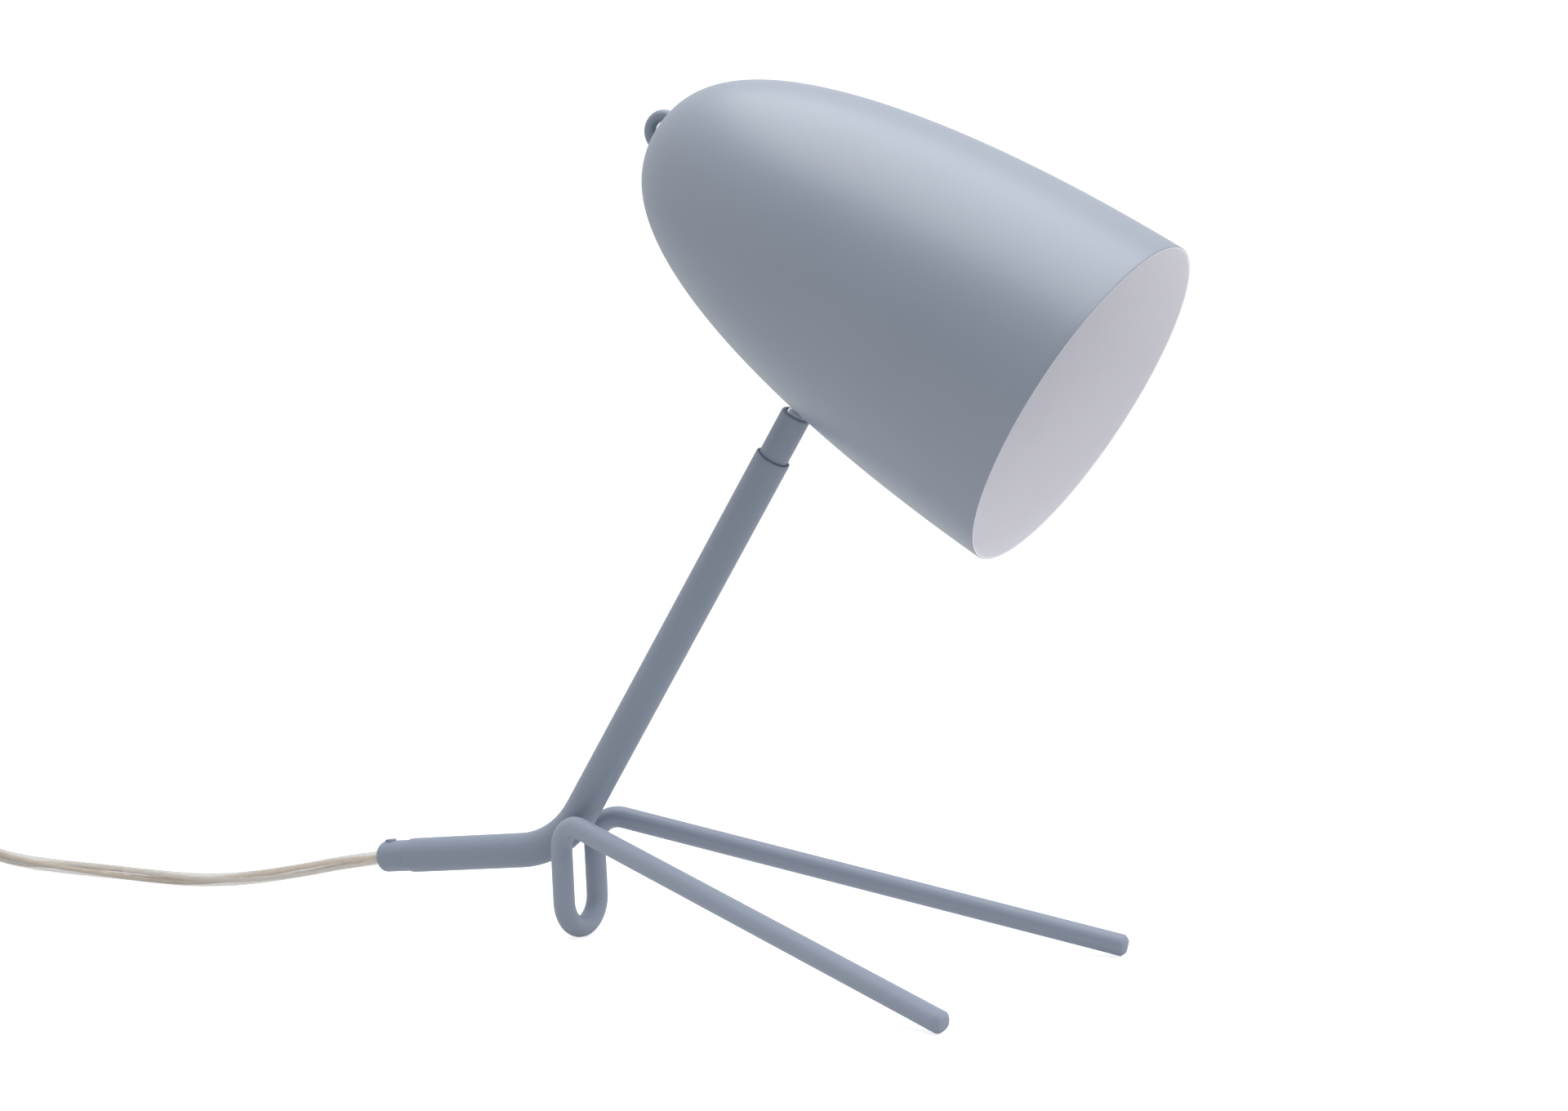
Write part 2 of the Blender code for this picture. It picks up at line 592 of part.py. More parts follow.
def tip_loop(finish, steel, shade):
    """Finger loop on the tip: a half round bent rod with two tapped legs, and its two screws."""
    frame = empty("tip_frame", shade.matrix_world @ shade_matrix(0.0), shade)
    foot = -GAP
    steps = 12
    path = [Vector((-RING_R, 0.0, foot))]
    for i in range(steps + 1):
        turn = math.pi * i / steps
        path.append(Vector((-RING_R * math.cos(turn), 0.0, -RING_RISE - RING_R * math.sin(turn))))
    path.append(Vector((RING_R, 0.0, foot)))
    body = place("tip_loop", swept("tip_loop", path, [RING_BAR] * len(path), 16), finish, frame)
    thread = rod_mesh("tip_thread", TIP_SCREW_R + GAP, -TIP_SCREW_IN - 2.0 * GAP, 1.0 * MM, 12)
    head = SHADE_WALL + TIP_HEAD_LIFT + GAP
    top = head + TIP_HEAD_H
    outline = [(0.0, -TIP_SCREW_IN), (TIP_SCREW_R, -TIP_SCREW_IN), (TIP_SCREW_R, head), (2.0 * TIP_SCREW_R, head),
               (2.0 * TIP_SCREW_R, top - 0.5 * MM), (1.5 * TIP_SCREW_R, top), (0.0, top)]
    screw = turned("tip_screw", outline, 16)
    for letter, side in (("a", 1.0), ("b", -1.0)):
        spot = Matrix.Translation((side * RING_R, 0.0, 0.0))
        cut(body, "tip_thread_" + letter, thread, spot, frame)
        place("tip_screw_" + letter, screw, steel, frame, spot)


def holder_bracket(finish, shade):
    """Bent strap from the ball stud's nut up to the lampholder's nipple."""
    normal = Vector((math.sin(STUD_TILT), 0.0, math.cos(STUD_TILT)))
    along = Vector((math.cos(STUD_TILT), 0.0, -math.sin(STUD_TILT)))
    seat = normal * (BALL_DROP + SHADE_WALL + BRACKET_LIFT)
    back = HOLDER_S - BALL_S - GAP - BRACKET_T
    low_front = seat + along * 8.0 * MM
    low_back = seat - along * 9.0 * MM
    rise = Vector((back, 0.0, AXIS_RISE - 21.0 * MM))
    top = Vector((back, 0.0, AXIS_RISE + 8.0 * MM))
    lower = rounded_corner(low_front, low_back, rise, BRACKET_BEND_R, 3)
    upper = rounded_corner(low_back, rise, top, BRACKET_BEND_R, 3)
    line = [low_front] + lower + upper + [top]
    half = BRACKET_W / 2.0
    bm = bmesh.new()
    rows = []
    for i, point in enumerate(line):
        before = line[max(i - 1, 0)]
        after = line[min(i + 1, len(line) - 1)]
        ahead = (after - before).normalized()
        face = Vector((ahead.z, 0.0, -ahead.x))
        face = face if face.dot(Vector((1.0, 0.0, 1.0))) > 0.0 else -face
        quad = []
        for y, lift in ((-half, 0.0), (half, 0.0), (half, BRACKET_T), (-half, BRACKET_T)):
            quad.append(bm.verts.new(point + Vector((0.0, y, 0.0)) + face * lift))
        rows.append(quad)
    for low, high in zip(rows, rows[1:]):
        join_rings(bm, low, high)
    bm.faces.new(rows[0])
    bm.faces.new(rows[-1])
    item = place("holder_bracket", mesh_from("holder_bracket", bm, 25.0), finish, shade)
    stud_hole = rod_mesh("bracket_stud_hole", SHANK_R + GAP, BALL_DROP, BALL_DROP + 5.0 * MM, 16)
    cut(item, "bracket_stud_hole", stud_hole, Matrix.Rotation(STUD_TILT, 4, "Y"), shade)
    nipple_hole = rod_mesh("bracket_nipple_hole", NIPPLE_R + GAP, -4.0 * MM, 4.0 * MM, 20)
    cut(item, "bracket_nipple_hole", nipple_hole, shade_matrix(HOLDER_S - 1.0 * MM), shade)


def lampholder(white, brass, steel, cable_finish, shade):
    """Small screw lampholder: nipple and nut, cap, body, threaded shell and centre contact."""
    def at(name, outline, finish, sides=20):
        place(name, turned(name, outline, sides), finish, shade, shade_matrix(HOLDER_S))

    at("holder_nipple", [(NIPPLE_BORE, -NIPPLE_LEN), (NIPPLE_R, -NIPPLE_LEN), (NIPPLE_R, -GAP),
                         (NIPPLE_BORE, -GAP)], steel)
    low = -BRACKET_T - 2.0 * GAP - NUT_H
    place("holder_nut", nut_mesh("holder_nut", NIPPLE_R + GAP, HOLDER_NUT_HALF, NUT_H, low), steel, shade,
          shade_matrix(HOLDER_S))
    rounding = 3.0 * MM
    floor = 2.5 * MM
    wall = 1.5 * MM
    cap = [(NIPPLE_BORE, 0.0), (8.0 * MM, 0.0)] + arc(HOLDER_R - rounding, rounding, rounding, -75.0, 0.0, 3)
    cap += [(HOLDER_R, CAP_LEN), (HOLDER_R - wall, CAP_LEN), (HOLDER_R - wall, floor), (NIPPLE_BORE, floor)]
    at("lampholder_cap", cap, white, 24)
    low = CAP_LEN + GAP
    floor = low + SOCKET_FLOOR
    bore = SOCKET_SHELL_R + GAP
    outside = HOLDER_R - 1.0 * MM
    hole = 2.0 * MM
    body = [(hole, low), (outside, low), (outside, HOLDER_LEN - 1.0 * MM), (outside - 1.0 * MM, HOLDER_LEN),
            (bore, HOLDER_LEN), (bore, floor), (hole, floor)]
    at("lampholder_body", body, white, 24)
    low_shell = floor + GAP
    high_shell = HOLDER_LEN - 4.0 * MM
    sheet = 0.4 * MM
    hole = 3.0 * MM
    shell = [(hole, low_shell), (SOCKET_SHELL_R, low_shell), (SOCKET_SHELL_R, high_shell),
             (SOCKET_SHELL_R - sheet, high_shell), (SOCKET_SHELL_R - sheet, low_shell + sheet),
             (hole, low_shell + sheet)]
    at("lampholder_shell", shell, brass, 24)
    pin = 1.6 * MM
    tip = low_shell + 2.0 * MM
    contact = [(0.0, low + 2.0 * MM), (pin, low + 2.0 * MM), (pin, tip - 0.8 * MM), (0.9 * MM, tip), (0.0, tip)]
    at("lampholder_contact", contact, brass, 12)

    normal = Vector((math.sin(STUD_TILT), 0.0, math.cos(STUD_TILT)))
    start = normal * (BALL_DROP + SHADE_WALL + STUD_INSIDE + GAP)
    end = Vector((HOLDER_S - BALL_S - NIPPLE_LEN - GAP, 0.0, AXIS_RISE))
    side = Vector((0.0, 11.5 * MM, 0.0))
    route = [start, start + normal * 3.5 * MM,
             start + normal * 11.0 * MM + side * 0.75 + Vector((-6.0, 0.0, 0.0)) * MM,
             Vector((-30.0 * MM, 0.0, AXIS_RISE - 28.0 * MM)) + side * 1.05,
             end + Vector((-9.5, 0.0, -17.0)) * MM + side * 0.7,
             end + Vector((-10.5, 0.0, -6.0)) * MM + side * 0.2, end + Vector((-4.5, 0.0, 0.0)) * MM, end]
    cable("holder_lead", route, 1.5 * MM, cable_finish, shade, 2.2)


def bulb(glass, brass, shade):
    """Round hollow opal bulb on a small screw cap; the glass is open where it stands in the cap."""
    frame = shade_matrix(BULB_TIP_S)
    cap_low = HOLDER_S + CAP_LEN + SOCKET_FLOOR + 2.0 * MM + 3.0 * GAP - BULB_TIP_S
    neck_z = cap_low + BULB_CAP_LEN
    outline = [(0.0, cap_low), (2.2 * MM, cap_low), (2.4 * MM, cap_low + 1.2 * MM),
               (BULB_CAP_R - 1.6 * MM, cap_low + 2.6 * MM), (BULB_CAP_R, cap_low + 4.4 * MM),
               (BULB_CAP_R, neck_z - 3.0 * MM), (BULB_CAP_R + 0.4 * MM, neck_z - 2.0 * MM),
               (BULB_CAP_R + 0.4 * MM, neck_z), (0.0, neck_z)]
    place("bulb_cap", turned("bulb_cap", outline, 20), brass, shade, frame)
    foot_r = BULB_CAP_R - 0.4 * MM
    neck_r = BULB_CAP_R + 0.6 * MM
    flare = neck_z + 4.0 * MM
    outer = arc(0.0, -BULB_R, BULB_R, 90.0, -58.0, 11)[1:] + [(neck_r, flare)]
    outline = [(0.0, 0.0)] + outer + [(foot_r, neck_z + GAP), (foot_r - GLASS_WALL, neck_z + GAP),
                                      (neck_r - GLASS_WALL, flare)]
    outline += arc(0.0, -BULB_R, BULB_R - GLASS_WALL, -58.0, 90.0, 11)[:-1] + [(0.0, -GLASS_WALL)]
    place("bulb_glass", turned("bulb_glass", outline, 28), glass, shade, frame)


def heading(turn):
    """Level direction, turned from -X towards -Y."""
    return Vector((-math.cos(turn), -math.sin(turn), 0.0))


def cord_to_switch(finish):
    """Free cord from the ferrule down to the floor and on to the inline switch."""
    route = [GLAND_END + PIPE_DIR * GAP] + [Vector(point) * MM for point in CORD_ROUTE]
    cable("cord_lamp", route, CORD_R, finish)
    return route[-1]


def switch_outline():
    """Half housing's plan: straight sides that narrow in a curve towards both cord ends."""
    half = SWITCH_LEN / 2.0
    wide = SWITCH_W / 2.0
    steps = 5
    corner = []
    for i in range(steps + 1):
        t = i / steps
        corner.append((half - SWITCH_TAPER * (1.0 - t) ** 1.5,
                       SWITCH_END_HALF + (wide - SWITCH_END_HALF) * (1.0 - t ** 2.2)))
    outline = []
    for sx, sy in ((1.0, 1.0), (-1.0, 1.0), (-1.0, -1.0), (1.0, -1.0)):
        part = [(sx * x, sy * y) for x, y in corner]
        outline += part if sx * sy < 0.0 else list(reversed(part))
    return outline


def switch_half(name, low, high, finish, frame, round_top):
    """One half of the switch housing, rounded on its outer side."""
    bm = bmesh.new()
    outline = switch_outline()
    lower = [bm.verts.new((x, y, low)) for x, y in outline]
    upper = [bm.verts.new((x, y, high)) for x, y in outline]
    join_rings(bm, lower, upper)
    base = bm.faces.new(lower)
    lid = bm.faces.new(upper)
    edges = list(lid.edges) if round_top else list(base.edges)
    bmesh.ops.bevel(bm, geom=edges, offset=SWITCH_ROUND, segments=2, profile=0.5, affect="EDGES")
    return place(name, mesh_from(name, bm), finish, frame)


def inline_switch(start, white, dark, steel):
    """Two-part housing lying on the floor, a rocker in its top and two screws below."""
    ahead = heading(SWITCH_TURN)
    centre = start + ahead * (SWITCH_LEN / 2.0 + GAP)
    centre.z = 0.0
    frame = empty("switch_frame", basis(ahead, Vector((0.0, 0.0, 1.0)), centre))
    top = SWITCH_LOW + GAP + SWITCH_HIGH
    lower = switch_half("switch_lower", 0.0, SWITCH_LOW, white, frame, False)
    upper = switch_half("switch_upper", SWITCH_LOW + GAP, top, white, frame, True)

    cut(upper, "rocker_well", block_mesh("rocker_well", ROCKER_WELL, (0.0, 0.0, top)), parent=frame)
    pivot = empty("rocker_pivot", frame.matrix_world @ Matrix.Translation((0.0, 0.0, top - PIVOT_DROP)), frame)
    # Side view of the rocker: part of its half length, and millimetres above the pivot.
    section = [(-1.0, -2.2), (1.0, -2.2), (1.0, 3.0), (0.45, 1.7), (0.0, 1.3), (-0.45, 1.7), (-1.0, 3.0)]
    lean = Matrix.Rotation(ROCKER_LEAN, 3, "Y")
    bm = bmesh.new()
    sides = []
    for y in (-ROCKER_WIDE, ROCKER_WIDE):
        sides.append([bm.verts.new(lean @ Vector((x * ROCKER_HALF, y, z * MM))) for x, z in section])
    join_rings(bm, sides[0], sides[1])
    bm.faces.new(sides[0])
    bm.faces.new(sides[1])
    place("switch_rocker", mesh_from("switch_rocker", bm, 30.0), dark, pivot)

    low, high = 0.5 * MM, 1.9 * MM
    hole = rod_mesh("switch_screw_hole", HOUSING_SCREW_R + GAP, -1.0 * MM, high + GAP, 16)
    screw = rod_mesh("switch_screw", HOUSING_SCREW_R, low, high, 16)
    for letter, side in (("a", -1.0), ("b", 1.0)):
        spot = Matrix.Translation((side * HOUSING_SCREW_X, 0.0, 0.0))
        cut(lower, "switch_screw_hole_" + letter, hole, spot, frame)
        place("switch_screw_" + letter, screw, steel, frame, spot)
    return frame


def coil_reach(radius):
    """How far from the coil's middle a cord at this radius, running straight off it, is clear of the coil."""
    outer = COIL_MID_R + COIL_HALF
    clear = outer + GAP + CORD_R * radius / outer
    return math.sqrt(clear ** 2 - radius ** 2)


def cord_and_coil(frame, finish, tie_finish):
    """From the switch: a short run, and the rest of the cord as a round coil held by a tie."""
    out = frame.matrix_world @ Vector((SWITCH_LEN / 2.0 + GAP, 0.0, SPLIT_Z * MM))
    layer = COIL_LOW + CORD_R
    arrive = COIL_CENTRE + Vector((-COIL_MID_R, coil_reach(COIL_MID_R), layer))
    cable("cord_switch", [out] + [Vector(point) * MM for point in COIL_ROUTE] + [arrive], CORD_R, finish)

    corner = 3.0 * MM
    outer = COIL_MID_R + COIL_HALF
    inner = COIL_MID_R - COIL_HALF
    top = COIL_LOW + COIL_H
    outline = arc(outer - corner, COIL_LOW + corner, corner, -90.0, 0.0, 3)
    outline += arc(outer - corner, top - corner, corner, 0.0, 90.0, 3)
    outline += arc(inner + corner, top - corner, corner, 90.0, 180.0, 3)
    outline += arc(inner + corner, COIL_LOW + corner, corner, 180.0, 270.0, 3)
    place("cord_coil", turned("cord_coil", outline, 32), finish, None, Matrix.Translation(COIL_CENTRE))

    section = []
    for grown in (GAP, GAP + TIE_T):
        ring = arc(COIL_HALF - corner, COIL_LOW + corner, corner + grown, -90.0, 0.0, 3)
        ring += arc(COIL_HALF - corner, top - corner, corner + grown, 0.0, 90.0, 3)
        ring += arc(-COIL_HALF - TIE_SLACK + corner, top - corner, corner + grown, 90.0, 180.0, 3)
        ring += arc(-COIL_HALF - TIE_SLACK + corner, COIL_LOW + corner, corner + grown, 180.0, 270.0, 3)
        section.append(ring)
    bm = bmesh.new()
    rings = []
    for ring, side in ((0, -1.0), (1, -1.0), (1, 1.0), (0, 1.0)):
        rings.append([bm.verts.new((x, side * TIE_W / 2.0, z)) for x, z in section[ring]])
    for k in range(4):
        join_rings(bm, rings[k], rings[(k + 1) % 4])
    turn = Matrix.Translation(COIL_CENTRE) @ Matrix.Rotation(TIE_ANGLE, 4, "Z")
    spot = turn @ Matrix.Translation((COIL_MID_R, 0.0, 0.0))
    place("coil_tie", mesh_from("coil_tie", bm), tie_finish, None, spot)

    last_turn = COIL_MID_R + COIL_PITCH
    leave = COIL_CENTRE + Vector((coil_reach(last_turn), -last_turn, layer))
    ahead = heading(math.pi + PLUG_TURN)
    route = [leave, leave + Vector((8.0, 0.3, 0.4)) * MM, TAIL_END - ahead * 9.0 * MM, TAIL_END]
    cable("cord_tail", route, CORD_R, finish)


def plug(white, metal):
    """Flat two-pin plug with a tapered strain relief, lying on its side beside the coil."""
    ahead = heading(math.pi + PLUG_TURN)
    start = TAIL_END + ahead * GAP
    frame = empty("plug_frame", basis(Vector((0.0, 0.0, 1.0)), ahead, start))
    sides = 24
    edge = 1.0 * MM
    # Stations along the plug: (distance, half thickness, half width). The strain relief is round at the
    # cord's end and flattens towards the grip; the grip is a rounded oblong.
    stations = [(0.0, 3.6 * MM, 3.6 * MM), (RELIEF_LEN * 0.5, 4.3 * MM, 4.6 * MM),
                (RELIEF_LEN, 5.4 * MM, 6.2 * MM), (RELIEF_LEN + 5.0 * MM, 6.4 * MM, 9.0 * MM),
                (RELIEF_LEN + 12.0 * MM, PLUG_T / 2.0, PLUG_W / 2.0 - 0.8 * MM),
                (RELIEF_LEN + PLUG_LEN - edge, PLUG_T / 2.0, PLUG_W / 2.0),
                (RELIEF_LEN + PLUG_LEN, PLUG_T / 2.0 - edge, PLUG_W / 2.0 - edge)]
    bm = bmesh.new()
    rings = []
    for i, (distance, thick, wide) in enumerate(stations):
        power = 1.0 if i < 2 else 0.6
        ring = []
        for k in range(sides):
            angle = 2.0 * math.pi * (k + 0.5) / sides
            x = math.copysign(abs(math.cos(angle)) ** power, math.cos(angle)) * thick
            y = math.copysign(abs(math.sin(angle)) ** power, math.sin(angle)) * wide
            ring.append(bm.verts.new((x, y, distance)))
        rings.append(ring)
    for low, high in zip(rings, rings[1:]):
        join_rings(bm, low, high)
    bm.faces.new(rings[0])
    bm.faces.new(rings[-1])
    body = place("plug_body", mesh_from("plug_body", bm), white, frame)
    face = RELIEF_LEN + PLUG_LEN
    sunk = 4.0 * MM
    tip = face + PIN_LEN
    socket = rod_mesh("plug_pin_hole", PIN_R + GAP, face - sunk - GAP, face + edge, 16)
    outline = [(0.0, face - sunk), (PIN_R, face - sunk), (PIN_R, tip - 1.0 * MM),
               (PIN_R - 0.4 * MM, tip - 0.3 * MM), (PIN_R - 1.1 * MM, tip), (0.0, tip)]
    pin = turned("plug_pin", outline, 16)
    for letter, side in (("a", 1.0), ("b", -1.0)):
        spot = Matrix.Translation((0.0, side * PIN_PITCH / 2.0, 0.0))
        cut(body, "plug_pin_hole_" + letter, socket, spot, frame)
        place("plug_pin_" + letter, pin, metal, frame, spot)


def build():
    clear_scene()
    body_paint = paint("body_paint", GREY_BLUE, 0.45)
    shade_paint = paint("shade_paint", GREY_BLUE, 0.42)
    chrome = paint("chrome", (0.80, 0.80, 0.82), 0.12, 1.0)
    steel = paint("zinc_steel", (0.58, 0.58, 0.60), 0.35, 1.0)
    brass = paint("brass", (0.72, 0.52, 0.24), 0.30, 1.0)
    nylon = paint("nylon", (0.78, 0.76, 0.70), 0.55)
    white = paint("white_plastic", WHITE, 0.40)
    dark = paint("clear_grey_plastic", (0.70, 0.71, 0.73), 0.35)
    clear = paint("clear_cable", (0.58, 0.54, 0.48), 0.25)
    glass = paint("opal_glass", (0.92, 0.92, 0.90), 0.20)
    tie = paint("tie_strap", (0.10, 0.10, 0.11), 0.8)

    joint = empty("neck_frame", basis(ALONG, STEM_DIR, BALL))
    level = Matrix.Rotation(-SHADE_PITCH, 4, "Y")
    turn = Matrix.Rotation(SHADE_TURN, 4, STEM_DIR)
    shade = empty("shade_frame", Matrix.Translation(BALL) @ turn @ level)

    stem_tube(body_paint)
    leg_frame(body_paint)
    cord_gland(body_paint)
    neck(body_paint, nylon, steel, joint)
    stem_cable(clear)
    stud = ball_stud(chrome, steel, nylon, shade)
    shade_shell(shade_paint, shade, stud)
    tip_loop(body_paint, steel, shade)
    holder_bracket(steel, shade)
    lampholder(white, brass, steel, clear, shade)
    bulb(glass, brass, shade)
    end = cord_to_switch(clear)
    frame = inline_switch(end, white, dark, steel)
    cord_and_coil(frame, clear, tie)
    plug(white, chrome)


build()
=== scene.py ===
"""Looks of a small tripod desk lamp: a leaning stem, a bullet shade on a ball joint, a clear flex.

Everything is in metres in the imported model's frame: +Z up, the floor at z = 0, the shade's mouth and the
two front feet towards +X, the cord towards -X. Sizes are written in millimetres and scaled by MM.
"""
import json
from math import acos, asin, atan, copysign, cos, degrees, pi, radians, sin, sqrt, tan

import bmesh
import bpy
from mathutils import Matrix, Vector


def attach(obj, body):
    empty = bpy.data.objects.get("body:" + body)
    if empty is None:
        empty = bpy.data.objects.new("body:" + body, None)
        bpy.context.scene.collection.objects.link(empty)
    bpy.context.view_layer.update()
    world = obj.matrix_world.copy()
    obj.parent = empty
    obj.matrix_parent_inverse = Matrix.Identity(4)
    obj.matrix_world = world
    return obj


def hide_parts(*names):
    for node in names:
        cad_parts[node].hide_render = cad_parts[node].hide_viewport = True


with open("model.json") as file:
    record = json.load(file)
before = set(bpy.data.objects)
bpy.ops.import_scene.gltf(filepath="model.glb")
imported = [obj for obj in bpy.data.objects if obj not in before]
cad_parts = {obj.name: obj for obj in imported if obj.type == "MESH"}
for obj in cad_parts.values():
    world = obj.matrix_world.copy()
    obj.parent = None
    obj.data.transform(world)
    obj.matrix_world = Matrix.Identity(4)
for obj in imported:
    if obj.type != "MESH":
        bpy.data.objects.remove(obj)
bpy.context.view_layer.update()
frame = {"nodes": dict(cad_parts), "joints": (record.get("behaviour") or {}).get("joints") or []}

MM = 0.001
TAU = 2.0 * pi
GAP = 0.3 * MM
SCENE = bpy.context.scene
JOINTS = {joint["name"]: joint for joint in frame["joints"]}
BALL = Vector(JOINTS["shade_tilt"]["pos_m"])
STEM_DIR = Vector(JOINTS["shade_swivel"]["axis"]).normalized()
TILT_AXIS = Vector(JOINTS["shade_tilt"]["axis"]).normalized()
SHADE_DIR = Vector(JOINTS["bulb_draw"]["axis"]).normalized()
X, Y, Z = Vector((1.0, 0.0, 0.0)), Vector((0.0, 1.0, 0.0)), Vector((0.0, 0.0, 1.0))

# Stem, base rod and cord outlet.
TUBE_R = 6.5 * MM
TUBE_WALL = 0.7 * MM
PIPE_ANGLE = radians(7.5)
BALL_DIST = 190.9 * MM
CORNER = BALL - STEM_DIR * BALL_DIST
PIPE_DIR = Vector((-cos(PIPE_ANGLE), 0.0, -sin(PIPE_ANGLE)))
BEND_R = 38.0 * MM
STEM_LEN = 174.8 * MM
PIPE_LEN = 70.0 * MM
PIPE_END = CORNER + PIPE_DIR * PIPE_LEN
PIPE_EDGE = ((0.12, 6.10), (0.35, 6.24), (0.7, 6.38), (1.2, 6.47), (1.8, 6.5))   # from the end, radius; mm
RIM_ROUND = 0.36 * MM
ROD_R = 4.0 * MM
FOOT = Vector((119.9, 70.2, 3.54)) * MM
FOOT_EDGE = ((0.0, 2.25), (0.12, 2.5), (0.35, 2.75), (0.8, 3.2), (1.25, 3.65), (1.5, 3.86), (1.75, 3.96),
             (2.2, 4.0))             # from the end, radius; mm
LEG_TOP = Vector((-71.5, 10.9, 45.4)) * MM
LOOP_X = -70.1 * MM
LOOP_LEAN = radians(3.1)
LOOP_R = 10.9 * MM
FLAT_DEPTH = 0.4 * MM
ROD_BEND_R = 9.3 * MM
WELD_R = 1.1 * MM
WELD_FRONT = -60.0 * MM
WELD_LOW = 32.0 * MM
WELD_HIGH = 41.0 * MM
GLAND_R = 5.95 * MM
GLAND_NOSE = 2.8 * MM
SPIGOT_R = 5.5 * MM
GLAND_OUT = 14.0 * MM
GLAND_IN = 9.0 * MM
SCREW_R = 2.2 * MM
SCREW_RISE = 0.6 * MM
SCREW_AT = 9.3 * MM

# Neck and ball joint.
BALL_R = 4.25 * MM
NECK_R = 5.5 * MM
NECK_WALL = 0.75 * MM
NECK_IN = 18.0 * MM
LIP_RISE = 2.2 * MM
LIP_ROUND = 1.1 * MM
SOCKET_R = BALL_R + GAP
WIRE_BORE = 1.0 * MM
SHANK_R = 2.1 * MM
GASKET_R = 3.9 * MM
GASKET_T = 0.6 * MM
WASHER_R = 4.6 * MM
WASHER_T = 0.8 * MM
NUT_HALF = 4.0 * MM
NUT_H = 2.4 * MM
STUD_INSIDE = 6.2 * MM

# Shade.
SHADE_R = 62.44 * MM
SHADE_FULL = 197.8 * MM
SHADE_P = 2.08
SHADE_Q = 2.52
SHADE_LEN = 181.9 * MM
SHADE_WALL = 0.8 * MM
STUD_S = 93.8 * MM
BALL_DROP = 6.7 * MM
RING_R = 5.65 * MM
RING_BAR = 2.1 * MM
RING_RISE = 0.7 * MM
TIP_HEAD_LIFT = 0.55 * MM

# Lampholder and bulb.
HOLDER_S = 54.0 * MM
HOLDER_R = 13.0 * MM
HOLDER_LEN = 46.0 * MM
BRACKET_W = 14.0 * MM
BRACKET_T = 1.2 * MM
BRACKET_LIFT = 1.1 * MM
BRACKET_BEND_R = 3.0 * MM
NIPPLE_R = 4.2 * MM
NIPPLE_BORE = 2.2 * MM
NIPPLE_LEN = 7.5 * MM
HOLDER_NUT_HALF = 6.5 * MM
CAP_LEN = 14.0 * MM
SOCKET_SHELL_R = 7.6 * MM
SOCKET_FLOOR = 5.0 * MM
BULB_CAP_R = 6.8 * MM
BULB_CAP_LEN = 23.5 * MM
THREAD_PITCH = 2.8 * MM
BULB_R = 22.5 * MM
BULB_TIP_S = 157.0 * MM

# Cord: centre line from the outlet to the switch and from the switch to the coil, in millimetres.
CORD_R = 2.65 * MM
CORD_Z = 2.75
SPLIT_Z = 7.65
CORE_R = 0.84 * MM
CORE_OFFSET = 0.95 * MM              # a core's centre from the cord's
CORE_LAY = 170.0 * MM                # length over which the cores go round each other once
CORD_ROUTE = ((-165.5, 0.0, 19.9), (-182.0, 0.0, 16.5), (-200.0, 0.0, 12.1), (-219.0, -0.3, 7.9),
              (-238.0, -0.9, 4.7), (-256.0, -1.9, 3.1), (-275.0, -3.0, CORD_Z), (-300.0, -4.5, CORD_Z),
              (-325.0, -5.9, CORD_Z), (-345.0, -7.0, 3.4), (-362.0, -7.9, 5.8), (-378.0, -8.6, SPLIT_Z))
SWITCH_TURN = radians(2.5)
SWITCH_AHEAD = Vector((-cos(SWITCH_TURN), -sin(SWITCH_TURN), 0.0))
SWITCH_LEN = 56.0 * MM
SWITCH_W = 22.0 * MM
SWITCH_LOW = 7.5 * MM
SWITCH_HIGH = 7.2 * MM
SWITCH_END_HALF = 5.5 * MM
SWITCH_TAPER = 13.0 * MM
ROCKER_HALF = 7.6 * MM
ROCKER_WIDE = 4.3 * MM
ROCKER_LEAN = radians(8.0)
COIL_ROUTE = ((-446.0, -11.6, 7.0), (-458.0, -15.6, 5.0), (-467.5, -25.0, 3.9), (-472.6, -37.0, 3.75))
COIL_CENTRE = Vector((-443.5, -75.0, 0.0)) * MM
COIL_MID_R = 30.5 * MM
COIL_HALF = 8.4 * MM
COIL_LOW = 1.1 * MM
COIL_H = 16.2 * MM
COIL_PITCH = 5.45 * MM
TIE_T = 0.8 * MM
TIE_W = 9.0 * MM
TIE_SLACK = 0.6 * MM
TIE_ANGLE = radians(20.0)
TAIL_END = Vector((-381.0, -108.5, 7.0)) * MM
PLUG_TURN = radians(-6.0)
PLUG_AHEAD = Vector((cos(PLUG_TURN), sin(PLUG_TURN), 0.0))
RELIEF_LEN = 26.0 * MM
RELIEF_PITCH = 4.0 * MM
GRIP_PITCH = 2.8 * MM
PLUG_LEN = 33.0 * MM
PLUG_W = 26.0 * MM
PLUG_T = 14.0 * MM
PIN_R = 2.0 * MM
PIN_LEN = 19.0 * MM
PIN_PITCH = 19.0 * MM


# ---- materials

def put(item, **values):
    """Sets a shader node's input sockets by name."""
    for name, value in values.items():
        item.inputs[name.replace("_", " ")].default_value = value
    return item


def node(tree, kind, **values):
    return put(tree.nodes.new("ShaderNode" + kind), **values)


def wire(source, output, target, socket):
    source.id_data.links.new(source.outputs[output], target.inputs[socket])


